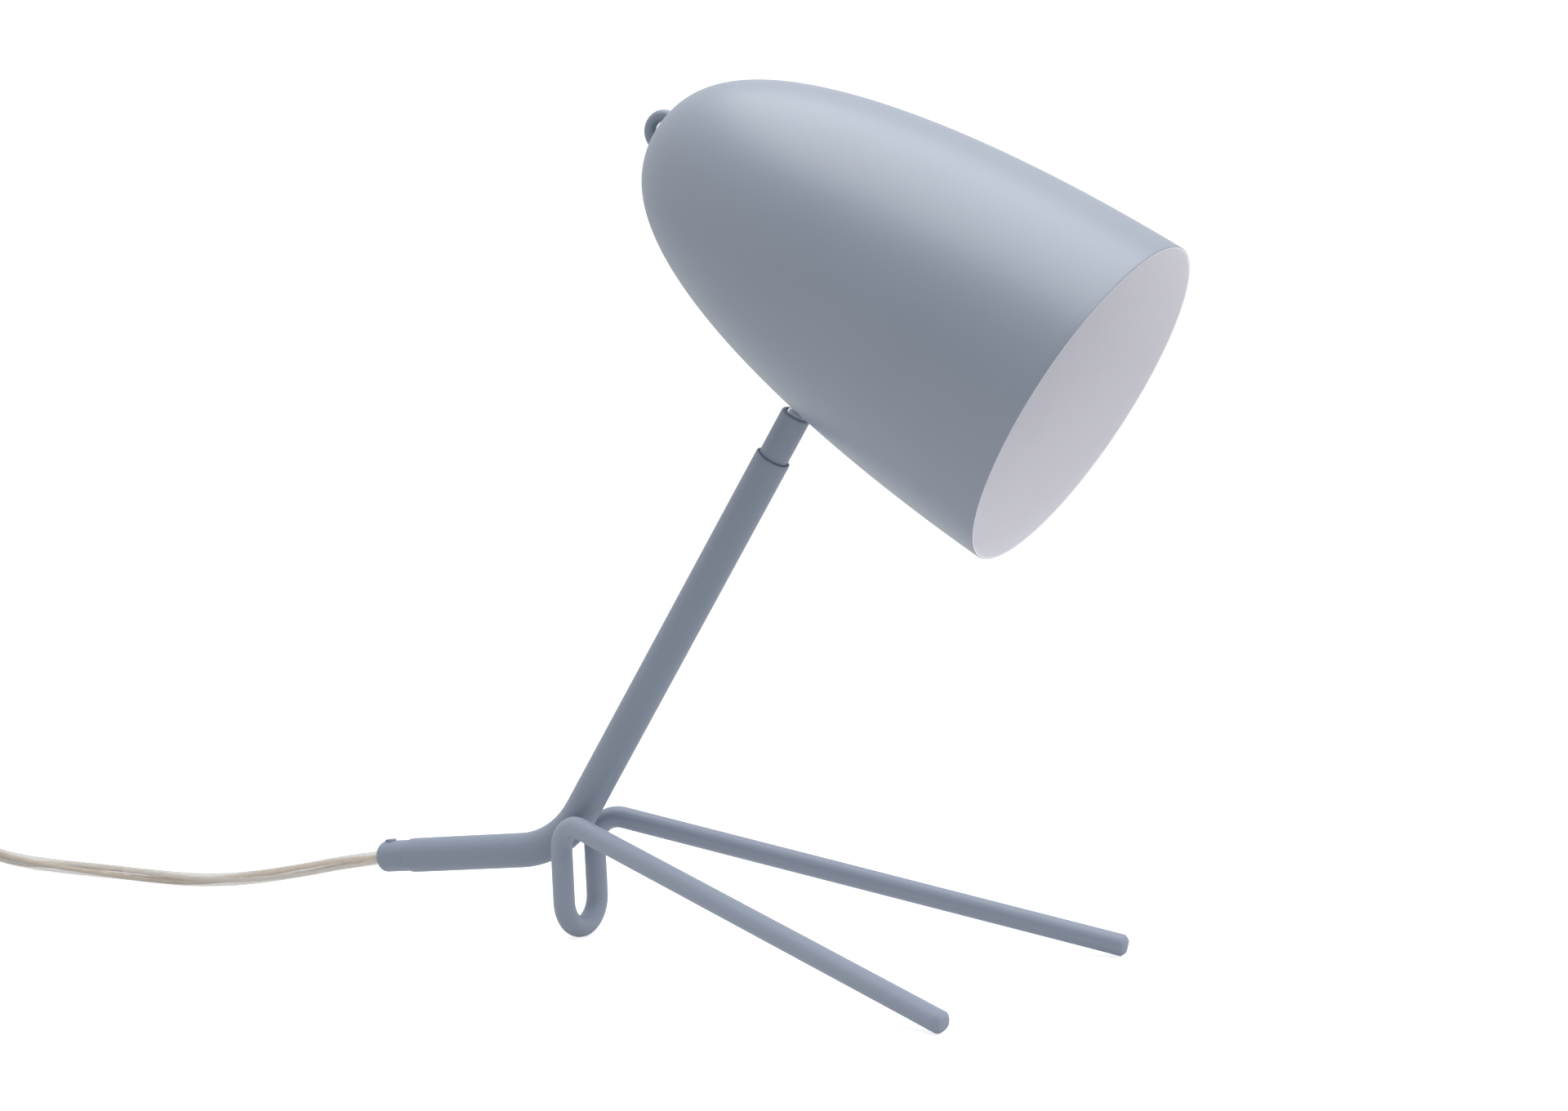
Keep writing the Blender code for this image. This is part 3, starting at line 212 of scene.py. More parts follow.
def finish(name, colour, roughness, metallic=0.0, mottle=0.03, mottle_size=40.0, uneven=0.03,
           grain=0.8, grain_depth=0.02, stretch=None, second=None, **sockets):
    """Principled surface. mottle varies the colour over mottle_size mm, uneven the roughness, and grain
    is the size in mm of a bump grain_depth mm high. stretch draws the grain out; second is a colour to
    mottle to."""
    item = bpy.data.materials.new(name)
    item.use_nodes = True
    tree = item.node_tree
    shader = tree.nodes["Principled BSDF"]
    put(shader, Metallic=metallic, **sockets)
    place = node(tree, "TexCoord")

    broad = node(tree, "TexNoise", Scale=1.0 / (mottle_size * MM), Detail=4.0)
    wire(place, "Object", broad, "Vector")
    mix = node(tree, "Mix")
    mix.data_type = "RGBA"
    low = second or [c * (1.0 - mottle) for c in colour]
    put(mix, A=(*low, 1.0), B=(*[min(1.0, c * (1.0 + mottle)) for c in colour], 1.0))
    wire(broad, "Fac", mix, "Factor")
    wire(mix, "Result", shader, "Base Color")

    fine = node(tree, "TexNoise", Scale=1.0 / (grain * MM), Detail=3.0)
    if stretch:
        drawn = node(tree, "Mapping", Scale=stretch)
        wire(place, "Object", drawn, "Vector")
        wire(drawn, "Vector", fine, "Vector")
    else:
        wire(place, "Object", fine, "Vector")
    ranged = node(tree, "MapRange", From_Min=0.3, From_Max=0.7,
                  To_Min=roughness - uneven, To_Max=roughness + uneven)
    wire(fine, "Fac", ranged, "Value")
    wire(ranged, "Result", shader, "Roughness")
    bump = node(tree, "Bump", Strength=1.0, Distance=grain_depth * MM)
    wire(fine, "Fac", bump, "Height")
    wire(bump, "Normal", shader, "Normal")
    return item


def woven(name, colour, thread):
    """Woven strap: two crossed waves of threads, thread mm apart."""
    item = finish(name, colour, 0.85, mottle=0.25, mottle_size=1.5, grain=0.3)
    tree = item.node_tree
    shader = tree.nodes["Principled BSDF"]
    place = node(tree, "TexCoord")
    waves = []
    for direction in ("X", "Z"):
        wave = node(tree, "TexWave", Scale=0.5 / (thread * MM) / pi, Distortion=0.4)
        wave.bands_direction = direction
        wire(place, "Object", wave, "Vector")
        waves.append(wave)
    product = node(tree, "Math")
    product.operation = "MAXIMUM"
    for k, wave in enumerate(waves):
        wire(wave, "Fac", product, k)
    bump = node(tree, "Bump", Strength=1.0, Distance=0.15 * MM)
    wire(product, "Value", bump, "Height")
    wire(bump, "Normal", shader, "Normal")
    return item


PAINTED = dict(uneven=0.04, grain=0.9, grain_depth=0.012)
STRANDED = dict(mottle=0.05, mottle_size=9.0, uneven=0.06, grain=0.3, grain_depth=0.01)
ENAMEL = finish("enamel", (0.238, 0.282, 0.364), 0.44, mottle_size=45.0, Specular_IOR_Level=0.6, **PAINTED)
# The legs' and welds' enamel is the stem's paint made lighter: painted light for the brighter light the legs
# catch.
LIT_ROD_ENAMEL = finish("rod_enamel_lit", (0.284, 0.330, 0.423), 0.46, mottle_size=45.0, Specular_IOR_Level=0.6,
                    **PAINTED)
SHADE_ENAMEL = finish("shade_enamel", (0.252, 0.292, 0.366), 0.40, mottle=0.035, mottle_size=38.0,
                      Specular_IOR_Level=0.85, **PAINTED)
LINING = finish("lining", (0.905, 0.902, 0.965), 0.75, mottle=0.012, mottle_size=70.0, uneven=0.05, grain=0.7)
CHROME = finish("chrome", (0.78, 0.79, 0.81), 0.07, 1.0, 0.02, 40.0, 0.02, 2.0, 0.001)
ZINC = finish("zinc", (0.55, 0.56, 0.58), 0.36, 1.0, 0.12, 4.0, 0.08, 0.4, 0.01, stretch=(1.0, 1.0, 0.15))
BRASS = finish("brass", (0.72, 0.50, 0.22), 0.30, 1.0, 0.10, 5.0, 0.07, 0.3, 0.006)
BULB_METAL = finish("bulb_metal", (0.74, 0.74, 0.76), 0.30, 1.0, 0.06, 5.0, 0.06, 0.4, 0.006)
NICKEL = finish("nickel", (0.72, 0.69, 0.62), 0.24, 1.0, 0.06, 4.0, 0.05, 0.4, 0.004, stretch=(0.2, 1.0, 1.0))
NYLON = finish("nylon", (0.76, 0.74, 0.68), 0.50, 0.0, 0.04, 5.0, 0.03, 0.3, 0.01)
PLASTIC = finish("white_plastic", (0.66, 0.665, 0.68), 0.38, 0.0, 0.02, 15.0, 0.05, 0.25, 0.012)
ROCKER = finish("rocker_plastic", (0.50, 0.51, 0.53), 0.34, 0.0, 0.02, 6.0, 0.04, 0.25, 0.006)
SLEEVE = finish("pin_sleeve", (0.045, 0.045, 0.05), 0.45, 0.0, 0.1, 3.0, 0.03, 0.2, 0.005)
OPAL = finish("opal_glass", (0.82, 0.82, 0.80), 0.22, 0.0, 0.015, 12.0, 0.03, 1.5, 0.004, Coat_Weight=0.4,
              Coat_Roughness=0.08)
CLEAR = finish("clear_sheath", (0.84, 0.84, 0.83), 0.10, 0.0, 0.03, 8.0, 0.03, 1.2, 0.004,
               Transmission_Weight=0.85, IOR=1.30)
COPPER = finish("copper_strands", (0.84, 0.69, 0.60), 0.34, 0.50, second=(0.88, 0.78, 0.64), **STRANDED)
TINNED = finish("tinned_strands", (0.82, 0.79, 0.75), 0.32, 0.55, second=(0.86, 0.78, 0.68), **STRANDED)
STRAP = woven("tie_strap", (0.035, 0.036, 0.04), 0.7)


# ---- mesh tools

def skin(bm, low, high, material=0):
    """Faces between two rings of vertices; a ring of one vertex is a pole."""
    sides = max(len(low), len(high))
    for k in range(sides):
        n = (k + 1) % sides
        if len(low) == 1:
            face = bm.faces.new((low[0], high[k], high[n]))
        elif len(high) == 1:
            face = bm.faces.new((low[k], low[n], high[0]))
        else:
            face = bm.faces.new((low[k], low[n], high[n], high[k]))
        face.material_index = material


def mesh_from(name, bm, sharp=38.0):
    bmesh.ops.recalc_face_normals(bm, faces=bm.faces)
    data = bpy.data.meshes.new(name)
    bm.to_mesh(data)
    bm.free()
    data.shade_smooth()
    data.set_sharp_from_angle(angle=radians(sharp))
    return data


def lofted(name, rows, sharp=38.0, joined=False):
    """Skin over rows of as many points each; the first and last rows are capped, or joined to each other."""
    bm = bmesh.new()
    rings = [[bm.verts.new(point) for point in row] for row in rows]
    for low, high in zip(rings, rings[1:]):
        skin(bm, low, high)
    if joined:
        skin(bm, rings[-1], rings[0])
    else:
        bm.faces.new(rings[0])
        bm.faces.new(rings[-1])
    return mesh_from(name, bm, sharp)


def piece(data, matrix, material, body, slot, *replaced):
    """Links a mesh as a piece that has its name and rides on a body; matrix is baked into the mesh."""
    if matrix is not None:
        data.transform(matrix)
    made = bpy.data.objects.new(data.name, data)
    SCENE.collection.objects.link(made)
    for one in material if isinstance(material, (list, tuple)) else [material]:
        data.materials.append(one)
    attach(made, body)
    if replaced:
        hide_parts(*replaced)
    return made


def arc(centre_r, centre_z, radius, start, end, steps):
    """Points (r, z) on an arc, in degrees from +r towards +z."""
    points = []
    for i in range(steps + 1):
        angle = radians(start + (end - start) * i / steps)
        points.append((centre_r + radius * cos(angle), centre_z + radius * sin(angle)))
    return points


def box_mesh(size, centre, rounding=0.0):
    bm = bmesh.new()
    bmesh.ops.create_cube(bm, size=1.0)
    bmesh.ops.scale(bm, vec=size, verts=bm.verts)
    bmesh.ops.translate(bm, vec=centre, verts=bm.verts)
    if rounding:
        bmesh.ops.bevel(bm, geom=bm.edges, offset=rounding, segments=4, profile=0.5, affect="EDGES")
    return mesh_from("box", bm, 30.0)


def turned(name, outline, sides, wave=None, sharp=38.0, finishes=None):
    """Solid of revolution about Z from (r, z) points. wave(r, z, angle) may return another radius;
    finishes gives the material of each band."""
    bm = bmesh.new()
    rings = []
    for radius, height in outline:
        if radius < 1e-7:
            rings.append([bm.verts.new((0.0, 0.0, height))])
            continue
        ring = []
        for k in range(sides):
            angle = TAU * k / sides
            r = wave(radius, height, angle) if wave else radius
            ring.append(bm.verts.new((r * cos(angle), r * sin(angle), height)))
        rings.append(ring)
    closed = outline[0][0] >= 1e-7
    for i in range(len(rings) if closed else len(rings) - 1):
        skin(bm, rings[i], rings[(i + 1) % len(rings)], finishes[i] if finishes else 0)
    return mesh_from(name, bm, sharp)


def move(x, y, z):
    return Matrix.Translation((x, y, z))


def spin(angle, axis):
    return Matrix.Rotation(angle, 4, axis)


def basis(x_axis, z_axis, origin):
    x = x_axis.normalized()
    z = z_axis.normalized()
    return Matrix.Translation(origin) @ Matrix((x, z.cross(x), z)).transposed().to_4x4()


def heading(points, i):
    """Direction of a path at its point i."""
    return (points[min(i + 1, len(points) - 1)] - points[max(i - 1, 0)]).normalized()


def frames_along(path):
    """Position and two cross directions at each point, carried without twist."""
    result = []
    side = None
    for i, point in enumerate(path):
        ahead = heading(path, i)
        if side is None:
            side = Y if abs(ahead.y) < 0.9 else X
        side = (side - ahead * side.dot(ahead)).normalized()
        result.append((point, side.copy(), ahead.cross(side)))
    return result


def tube(name, path, radii, sides, lobes=None, twist=0.0, bores=None, shift=None):
    """Round bar along a path. lobes is (count, depth) of flutes that twist turns per metre; bores makes it
    a pipe; shift(distance) moves the centre sideways."""
    bm = bmesh.new()
    frames = frames_along(path)
    travelled = [0.0]
    for a, b in zip(path, path[1:]):
        travelled.append(travelled[-1] + (b - a).length)

    def ring(index, radius, fluted):
        point, side, up = frames[index]
        turn = TAU * twist * travelled[index]
        if shift:
            right, rise = shift(travelled[index])
            point = point + side * right + up * rise
        loop = []
        for k in range(sides):
            angle = TAU * k / sides
            r = radius
            if lobes and fluted:
                r = radius * (1.0 - lobes[1] * (0.5 - 0.5 * cos(lobes[0] * (angle + turn))))
            loop.append(bm.verts.new(point + side * r * cos(angle) + up * r * sin(angle)))
        return loop

    outer = [ring(i, r, True) for i, r in enumerate(radii)]
    for low, high in zip(outer, outer[1:]):
        skin(bm, low, high)
    if bores:
        inner = [ring(i, r, False) for i, r in enumerate(bores)]
        for low, high in zip(inner, inner[1:]):
            skin(bm, low, high)
        skin(bm, outer[0], inner[0])
        skin(bm, outer[-1], inner[-1])
    else:
        for loop in (outer[0], outer[-1]):
            centre = sum((v.co for v in loop), Vector()) / len(loop)
            skin(bm, loop, [bm.verts.new(centre)])
    return mesh_from(name, bm)


def rounded_corner(before, corner, after, radius, steps):
    """Points of the arc that rounds the corner between two straight runs."""
    back = (before - corner).normalized()
    on = (after - corner).normalized()
    half = back.angle(on) / 2.0
    reach = radius / tan(half)
    centre = corner + (back + on).normalized() * (radius / sin(half))
    start = corner + back * reach - centre
    axis = start.cross(corner + on * reach - centre).normalized()
    turn = pi - 2.0 * half
    return [centre + Matrix.Rotation(turn * i / steps, 3, axis) @ start for i in range(steps + 1)]


def smooth_curve(points, spacing):
    """Evenly spaced points on a smooth curve (Catmull-Rom) through the given ones."""
    dense = []
    padded = [points[0] * 2.0 - points[1]] + list(points) + [points[-1] * 2.0 - points[-2]]
    for a, b, c, d in zip(padded, padded[1:], padded[2:], padded[3:]):
        for i in range(16):
            t = i / 16.0
            dense.append(0.5 * (2.0 * b + (c - a) * t + (2.0 * a - 5.0 * b + 4.0 * c - d) * t * t
                                + (3.0 * b - a - 3.0 * c + d) * t ** 3))
    dense.append(points[-1])
    length = sum((b - a).length for a, b in zip(dense, dense[1:]))
    count = max(2, round(length / spacing))
    result = [dense[0]]
    walked = 0.0
    for a, b in zip(dense, dense[1:]):
        step = (b - a).length
        while len(result) < count and walked + step >= length * len(result) / count:
            result.append(a.lerp(b, (length * len(result) / count - walked) / step))
        walked += step
    result.append(dense[-1])
    return result


def straight(start, end, steps):
    """Points from start to end, both included."""
    return [start.lerp(end, i / steps) for i in range(steps + 1)]


# ---- camera and cord

def make_camera():
    """Low three-quarter view of the lamp's right side."""
    azimuth, elevation, distance = radians(30.78), radians(5.40), 1.1973
    target = Vector((17.6, 0.0, 145.9)) * MM
    back = Vector((sin(azimuth) * cos(elevation), -cos(azimuth) * cos(elevation),
                   sin(elevation)))
    data = bpy.data.cameras.new("camera")
    data.sensor_fit = "HORIZONTAL"
    data.sensor_width = 36.0
    data.lens = 77.66
    data.clip_start = 0.05
    camera = bpy.data.objects.new("camera", data)
    camera.location = target + back * distance
    camera.rotation_euler = (-back).to_track_quat("-Z", "Y").to_euler()
    SCENE.collection.objects.link(camera)
    SCENE.camera = camera


def coil_turns(steps):
    """Seven and a quarter turns, counter-clockwise from the -X side: each turn keeps one place in a
    three by three stack and moves to the next place over a sixth of a turn."""
    places = [(0, 0), (-1, 0), (-1, 1), (-1, 2), (0, 2), (0, 1), (1, 1), (1, 0)]
    total = 7.25
    climb = 1.0 / 6.0
    points = []
    for i in range(int(total * steps) + 1):
        turns = i / steps
        k = min(int(turns), 7)
        across, up = places[k]
        ahead = (turns - k - (1.0 - climb)) / climb
        if ahead > 0.0 and k < 7:
            ease = ahead * ahead * (3.0 - 2.0 * ahead)
            across += (places[k + 1][0] - across) * ease
            up += (places[k + 1][1] - up) * ease
        radius = COIL_MID_R + across * COIL_PITCH
        angle = pi + TAU * turns
        points.append(COIL_CENTRE + Vector((radius * cos(angle), radius * sin(angle),
                                            COIL_LOW + CORD_R + up * COIL_PITCH * 0.96)))
    return points


def cord_path():
    """The whole cord: out of the ferrule, through the switch, round the coil, into the plug."""
    route = [Vector(p) * MM for p in CORD_ROUTE]
    start = CORNER + PIPE_DIR * (PIPE_LEN + GLAND_OUT - 6.0 * MM)
    first = smooth_curve([start, CORNER + PIPE_DIR * (PIPE_LEN + GLAND_OUT + GAP)] + route, 2.0 * MM)
    out = route[-1] + SWITCH_AHEAD * (SWITCH_LEN + 0.6 * MM)
    inside = straight(route[-1], out, 20)[1:-1]
    turns = coil_turns(96)
    second = smooth_curve([out] + [Vector(p) * MM for p in COIL_ROUTE] + [turns[0]], 2.0 * MM)
    tail = smooth_curve([turns[-1], turns[-1] + Vector((12.0, 0.3, 0.1)) * MM,
                         TAIL_END - PLUG_AHEAD * 14.0 * MM + Vector((0.0, 0.0, -0.6)) * MM,
                         TAIL_END, TAIL_END + PLUG_AHEAD * 8.0 * MM], 2.0 * MM)
    return first + inside + second[:-1] + turns + tail[1:]


def twisted(offset, pitch, phase):
    """Shift for tube(): round the centre line once per pitch."""
    def shift(distance):
        angle = phase + TAU * distance / pitch
        return offset * cos(angle), offset * sin(angle)
    return shift


def make_cord():
    """Round clear sheath with two slowly twisted cores of bare strands, one copper and one tinned."""
    path = cord_path()
    sheath = piece(tube("cord_sheath", path, [CORD_R] * len(path), 20), None, CLEAR, "base", "clear_cable",
                   "cord_lamp", "cord_switch", "cord_coil", "cord_tail")
    for name, phase, material in (("core_copper", pi, COPPER), ("core_tinned", 0.0, TINNED)):
        data = tube(name, path, [CORE_R] * len(path), 20, lobes=(7, 0.20), twist=14.0,
                    shift=twisted(CORE_OFFSET, CORE_LAY, phase))
        piece(data, None, material, "base", "clear_cable")


# ---- base

def make_stem():
    """Bent tube with a chamfered rear end and a rolled upper rim."""
    top = CORNER + STEM_DIR * STEM_LEN
    bore = TUBE_R - TUBE_WALL
    bend = rounded_corner(PIPE_END, CORNER, top, BEND_R, 28)
    path = [PIPE_END]
    radii = [GLAND_R + 0.04 * MM]
    for back, radius in PIPE_EDGE:
        path.append(PIPE_END - PIPE_DIR * back * MM)
        radii.append(radius * MM)
    run = straight(path[-1], bend[0], 8)[1:-1] + bend + straight(bend[-1], top - STEM_DIR * 2.0 * MM, 20)[1:]
    path += run
    radii += [TUBE_R] * len(run)
    for i in range(1, 8):
        angle = pi / 2.0 * i / 7
        path.append(top - STEM_DIR * RIM_ROUND * (1.0 - sin(angle)))
        radii.append(TUBE_R - RIM_ROUND * (1.0 - cos(angle)))
    data = tube("stem_skin", path, radii, 56, bores=[bore] * len(path))
    piece(data, None, ENAMEL, "base", "body_paint", "stem_tube")


def leg_path():
    """Near foot, long leg, bend, U, bend, far foot, with the distance of each point from its foot's end."""
    flip = Vector((1.0, -1.0, 1.0))
    foot = FOOT * flip
    slope = (LEG_TOP * flip - foot).normalized()
    down = Vector((sin(LOOP_LEAN), 0.0, -cos(LOOP_LEAN)))
    across = Vector((cos(LOOP_LEAN), 0.0, sin(LOOP_LEAN)))
    centre = Vector((LOOP_X, 0.0, ROD_R + LOOP_R - FLAT_DEPTH))
    corner = foot + slope * ((centre - foot).dot(across) / slope.dot(across))
    u_top = centre - Y * LOOP_R
    near = [foot + slope * back * MM for back, _ in FOOT_EDGE]
    bend = rounded_corner(foot, corner, u_top, ROD_BEND_R, 20)
    near += straight(near[-1], bend[0], 24)[1:-1] + bend
    near += straight(bend[-1], u_top, 8)[1:-1]
    loop = []
    for i in range(33):
        angle = pi * i / 32
        loop.append(centre + down * LOOP_R * sin(angle) - Y * LOOP_R * cos(angle))
    return near, loop, [point * flip for point in reversed(near)]


def make_legs():
    """Bent rod with chamfered ends, ground flat where it stands."""
    near, loop, far = leg_path()
    path = near + loop + far
    end = [radius * MM for _, radius in FOOT_EDGE]
    radii = end + [ROD_R] * (len(path) - 2 * len(end)) + end[::-1]
    bm = bmesh.new()
    bm.from_mesh(tube("bent_rod", path, radii, 40))
    floor = bmesh.ops.bisect_plane(bm, geom=bm.verts[:] + bm.edges[:] + bm.faces[:], plane_co=(0, 0, 0),
                                   plane_no=(0, 0, -1), clear_outer=True)
    edges = [g for g in floor["geom_cut"] if isinstance(g, bmesh.types.BMEdge)]
    bmesh.ops.holes_fill(bm, edges=edges)
    # The rod takes the lighter copy of the stem's enamel: painted light for the light it catches.
    piece(mesh_from("leg_skin", bm), None, LIT_ROD_ENAMEL, "base", "body_paint", "leg_frame")


def make_welds():
    """Smooth paint-filled weld beads where the rod's two bends meet the stem."""
    near, _, far = leg_path()
    for name, points, side in (("weld_near", near, -1.0), ("weld_far", far, 1.0)):
        inner = [p for p in points if p.x < WELD_FRONT and WELD_LOW < p.z < WELD_HIGH]
        inner.sort(key=lambda p: p.z)
        route = [Vector((p.x, side * (TUBE_R + 0.15 * MM), p.z)) for p in inner]
        last = len(route) - 1
        radii = [WELD_R * sqrt(max(0.02, 1.0 - (2.0 * i / last - 1.0) ** 2)) for i in range(last + 1)]
        # The beads take the legs' lighter enamel, painted light for the light they catch.
        piece(tube(name, route, radii, 16), None, LIT_ROD_ENAMEL, "base", "body_paint")


def make_gland():
    """Ferrule with a rounded nose, and its slotted screw."""
    bore = CORD_R + 0.35 * MM
    seam = 0.02 * MM
    edge = 0.05 * MM
    outline = [(bore, -GLAND_IN), (SPIGOT_R, -GLAND_IN), (SPIGOT_R, seam), (GLAND_R - edge, seam),
               (GLAND_R, seam + edge)]
    outline += arc(GLAND_R - GLAND_NOSE, GLAND_OUT - GLAND_NOSE, GLAND_NOSE, 0.0, 84.0, 16)
    outline += [(bore + 0.25 * MM, GLAND_OUT), (bore, GLAND_OUT - 0.25 * MM)]
    piece(turned("gland_skin", outline, 64), basis(Y, PIPE_DIR, PIPE_END), ENAMEL, "base", "body_paint",
          "cord_gland")

    place = basis(PIPE_DIR, Z - PIPE_DIR * Z.dot(PIPE_DIR), PIPE_END + PIPE_DIR * SCREW_AT)
    low = bore + 0.6 * MM
    top = GLAND_R + SCREW_RISE
    slotted_screw("gland_screw_head", place, [(0.0, low), (SCREW_R, low)], SCREW_R, top, 0.4 * MM, ENAMEL,
                  "base", "body_paint", "gland_screw")


def slotted_screw(name, place, stem, radius, top, rounding, material, body, slot, replaced):
    """Cylinder-head screw along Z with a saw slot across its rounded top."""
    outline = stem + [(radius, top - rounding)]
    outline += arc(radius - rounding, top - rounding, rounding, 0.0, 90.0, 6)[1:]
    outline += [(radius * 0.5, top + 0.04 * MM), (0.0, top + 0.05 * MM)]
    made = piece(turned(name, outline, 48), place, material, body, slot, replaced)
    saw = box_mesh((0.32 * radius, 3.0 * radius, 1.5 * MM), (0.0, 0.0, top))
    saw.transform(place)
    carve(made, saw)


def carve(target, data):
    """Cuts a mesh out of a piece and applies the cut."""
    tool = bpy.data.objects.new("cutter", data)
    SCENE.collection.objects.link(tool)
    step = target.modifiers.new("cut", "BOOLEAN")
    step.operation = "DIFFERENCE"
    step.object = tool
    graph = bpy.context.evaluated_depsgraph_get()
    result = bpy.data.meshes.new_from_object(target.evaluated_get(graph))
    target.modifiers.clear()
    target.data = result
    result.shade_smooth()
    result.set_sharp_from_angle(angle=radians(38.0))
    bpy.data.objects.remove(tool, do_unlink=True)


def drill(target, place, radius, low, high, sides=40):
    """Cuts a round hole between two heights along place's Z."""
    data = turned("drill", [(0.0, low), (radius, low), (radius, high), (0.0, high)], sides)
    data.transform(place)
    carve(target, data)


def make_neck():
    """Neck tube with its spun lip round the ball."""
    matrix = basis(Y.cross(STEM_DIR), STEM_DIR, BALL)
    bore = NECK_R - NECK_WALL
    low = STEM_LEN - NECK_IN - BALL_DIST
    top = LIP_RISE - 0.15 * MM
    lip_r = sqrt(SOCKET_R ** 2 - top ** 2)
    outline = [(bore, low), (NECK_R, low)]
    outline += arc(NECK_R - LIP_ROUND, LIP_RISE - LIP_ROUND, LIP_ROUND, 0.0, 90.0, 12)
    outline += [(lip_r + 0.14 * MM, LIP_RISE), (lip_r, LIP_RISE - 0.14 * MM)]
    outline += arc(0.0, 0.0, SOCKET_R, degrees(asin(top / SOCKET_R)), 0.0, 10)
    piece(turned("neck_skin", outline, 56), matrix, ENAMEL, "base", "body_paint", "neck_tube")


# ---- shade

def shade_radius(s):
    return SHADE_R * (1.0 - (1.0 - s / SHADE_FULL) ** SHADE_P) ** (1.0 / SHADE_Q)


def shade_slope(s):
    step = 0.05 * MM
    return atan((shade_radius(s + step) - shade_radius(s - step)) / (2.0 * step))


STUD_TILT = shade_slope(STUD_S)
BALL_S = STUD_S - BALL_DROP * sin(STUD_TILT)
AXIS_RISE = shade_radius(STUD_S) + BALL_DROP * cos(STUD_TILT)
SHADE_UP = SHADE_DIR.cross(TILT_AXIS)
SHADE_FRAME = Matrix.Translation(BALL) @ Matrix((SHADE_DIR, TILT_AXIS, SHADE_UP)).transposed().to_4x4()
STUD_FRAME = SHADE_FRAME @ spin(STUD_TILT, "Y")
STUD_UP = Vector((sin(STUD_TILT), 0.0, cos(STUD_TILT)))      # in the shade's frame


def on_axis(s):
    """Frame with Z along the shade's axis, at a distance s from the tip."""
    return SHADE_FRAME @ move(s - BALL_S, 0.0, AXIS_RISE) @ spin(pi / 2, "Y")


def make_shade():
    """Spun bullet: enamel outside, matte lining inside from the middle of its rounded edge."""
    steps = 120
    edge = SHADE_WALL / 2.0
    outer = [(0.0, 0.0)]
    inner = [(0.0, SHADE_WALL)]
    for i in range(1, steps + 1):
        s = (SHADE_LEN - edge) * (i / steps) ** 2.1
        tilt = shade_slope(max(s, 0.1 * MM))
        outer.append((shade_radius(s), s))
        inner.append((shade_radius(s) - SHADE_WALL * cos(tilt), s + SHADE_WALL * sin(tilt)))
    rim_r = (outer[-1][0] + inner[-1][0]) / 2.0
    rim_z = (outer[-1][1] + inner[-1][1]) / 2.0
    tilt = degrees(shade_slope(SHADE_LEN - edge))
    roll = arc(rim_r, rim_z, edge, -tilt, 180.0 - tilt, 12)[1:-1]
    outline = outer + roll + inner[::-1]
    enamel = len(outer) + 4
    bands = [0] * enamel + [1] * (len(outline) - enamel)
    data = turned("shade_skin", outline, 180, finishes=bands, sharp=50.0)
    shell = piece(data, on_axis(0.0), (SHADE_ENAMEL, LINING), "shade", "shade_paint", "shade_shell")
    drill(shell, STUD_FRAME, SHANK_R + GAP, BALL_DROP - 3.0 * MM, BALL_DROP + 4.0 * MM, 32)


def threaded(low, high, pitch, depth, near):
    """Wave for turned(): a screw thread between two heights, on radii close to near."""
    def wave(radius, height, angle):
        if abs(radius - near) > 0.2 * MM or not low < height < high:
            return radius
        return radius - depth * abs(((height / pitch - angle / TAU) % 1.0) * 2.0 - 1.0)
    return wave


def rolled(low, high, depth, near):
    """Wave for turned(): the wavy thread of a lamp cap between two heights, on radii of near or more."""
    def wave(radius, height, angle):
        if radius < near or not low < height < high:
            return radius
        return radius - depth * (0.5 + 0.5 * cos(TAU * height / THREAD_PITCH - angle))
    return wave


def rungs(radius, low, high, step):
    """Evenly spaced points up a straight side, for a thread or ribs to act on."""
    count = max(2, round((high - low) / step))
    return [(radius, low + (high - low) * i / count) for i in range(count + 1)]


def make_stud():
    """Chromed hollow ball stud, its gasket, washer and nut."""
    inside = BALL_DROP + SHADE_WALL
    top = inside + STUD_INSIDE
    gasket = BALL_DROP - GASKET_T - 0.4 * MM
    collar = gasket - GAP
    outline = [(WIRE_BORE, -sqrt(BALL_R ** 2 - WIRE_BORE ** 2))]
    outline += arc(0.0, 0.0, BALL_R, -76.0, degrees(acos(SHANK_R / BALL_R)), 40)
    outline += [(SHANK_R, collar - GAP), (3.3 * MM, collar - GAP), (3.4 * MM, collar - 0.2 * MM),
                (3.4 * MM, collar - 0.08 * MM), (3.3 * MM, collar), (SHANK_R, collar)]
    outline += rungs(SHANK_R, inside + 1.5 * MM, top, 0.1 * MM) + [(WIRE_BORE, top)]
    wave = threaded(inside + 1.6 * MM, top, 0.7 * MM, 0.16 * MM, SHANK_R)
    piece(turned("stud_skin", outline, 56, wave), STUD_FRAME, CHROME, "shade", "chrome", "ball_stud")
    washer("gasket_skin", GASKET_R, gasket, GASKET_T, NYLON, "nylon", "stud_gasket")
    low = inside + BRACKET_LIFT + BRACKET_T + GAP
    washer("washer_skin", WASHER_R, low, WASHER_T, ZINC, "zinc_steel", "stud_washer")
    hex_nut("nut_skin", SHANK_R + 0.1 * MM, NUT_HALF, low + WASHER_T + GAP, STUD_FRAME, "stud_nut")


def washer(name, radius, low, height, material, slot, replaced):
    """Flat ring round the stud, with its edges broken."""
    bore = SHANK_R + GAP
    edge = 0.12 * MM
    high = low + height
    outline = [(bore, low + edge), (bore + edge, low), (radius - edge, low), (radius, low + edge),
               (radius, high - edge), (radius - edge, high), (bore + edge, high), (bore, high - edge)]
    piece(turned(name, outline, 64), STUD_FRAME, material, "shade", slot, replaced)


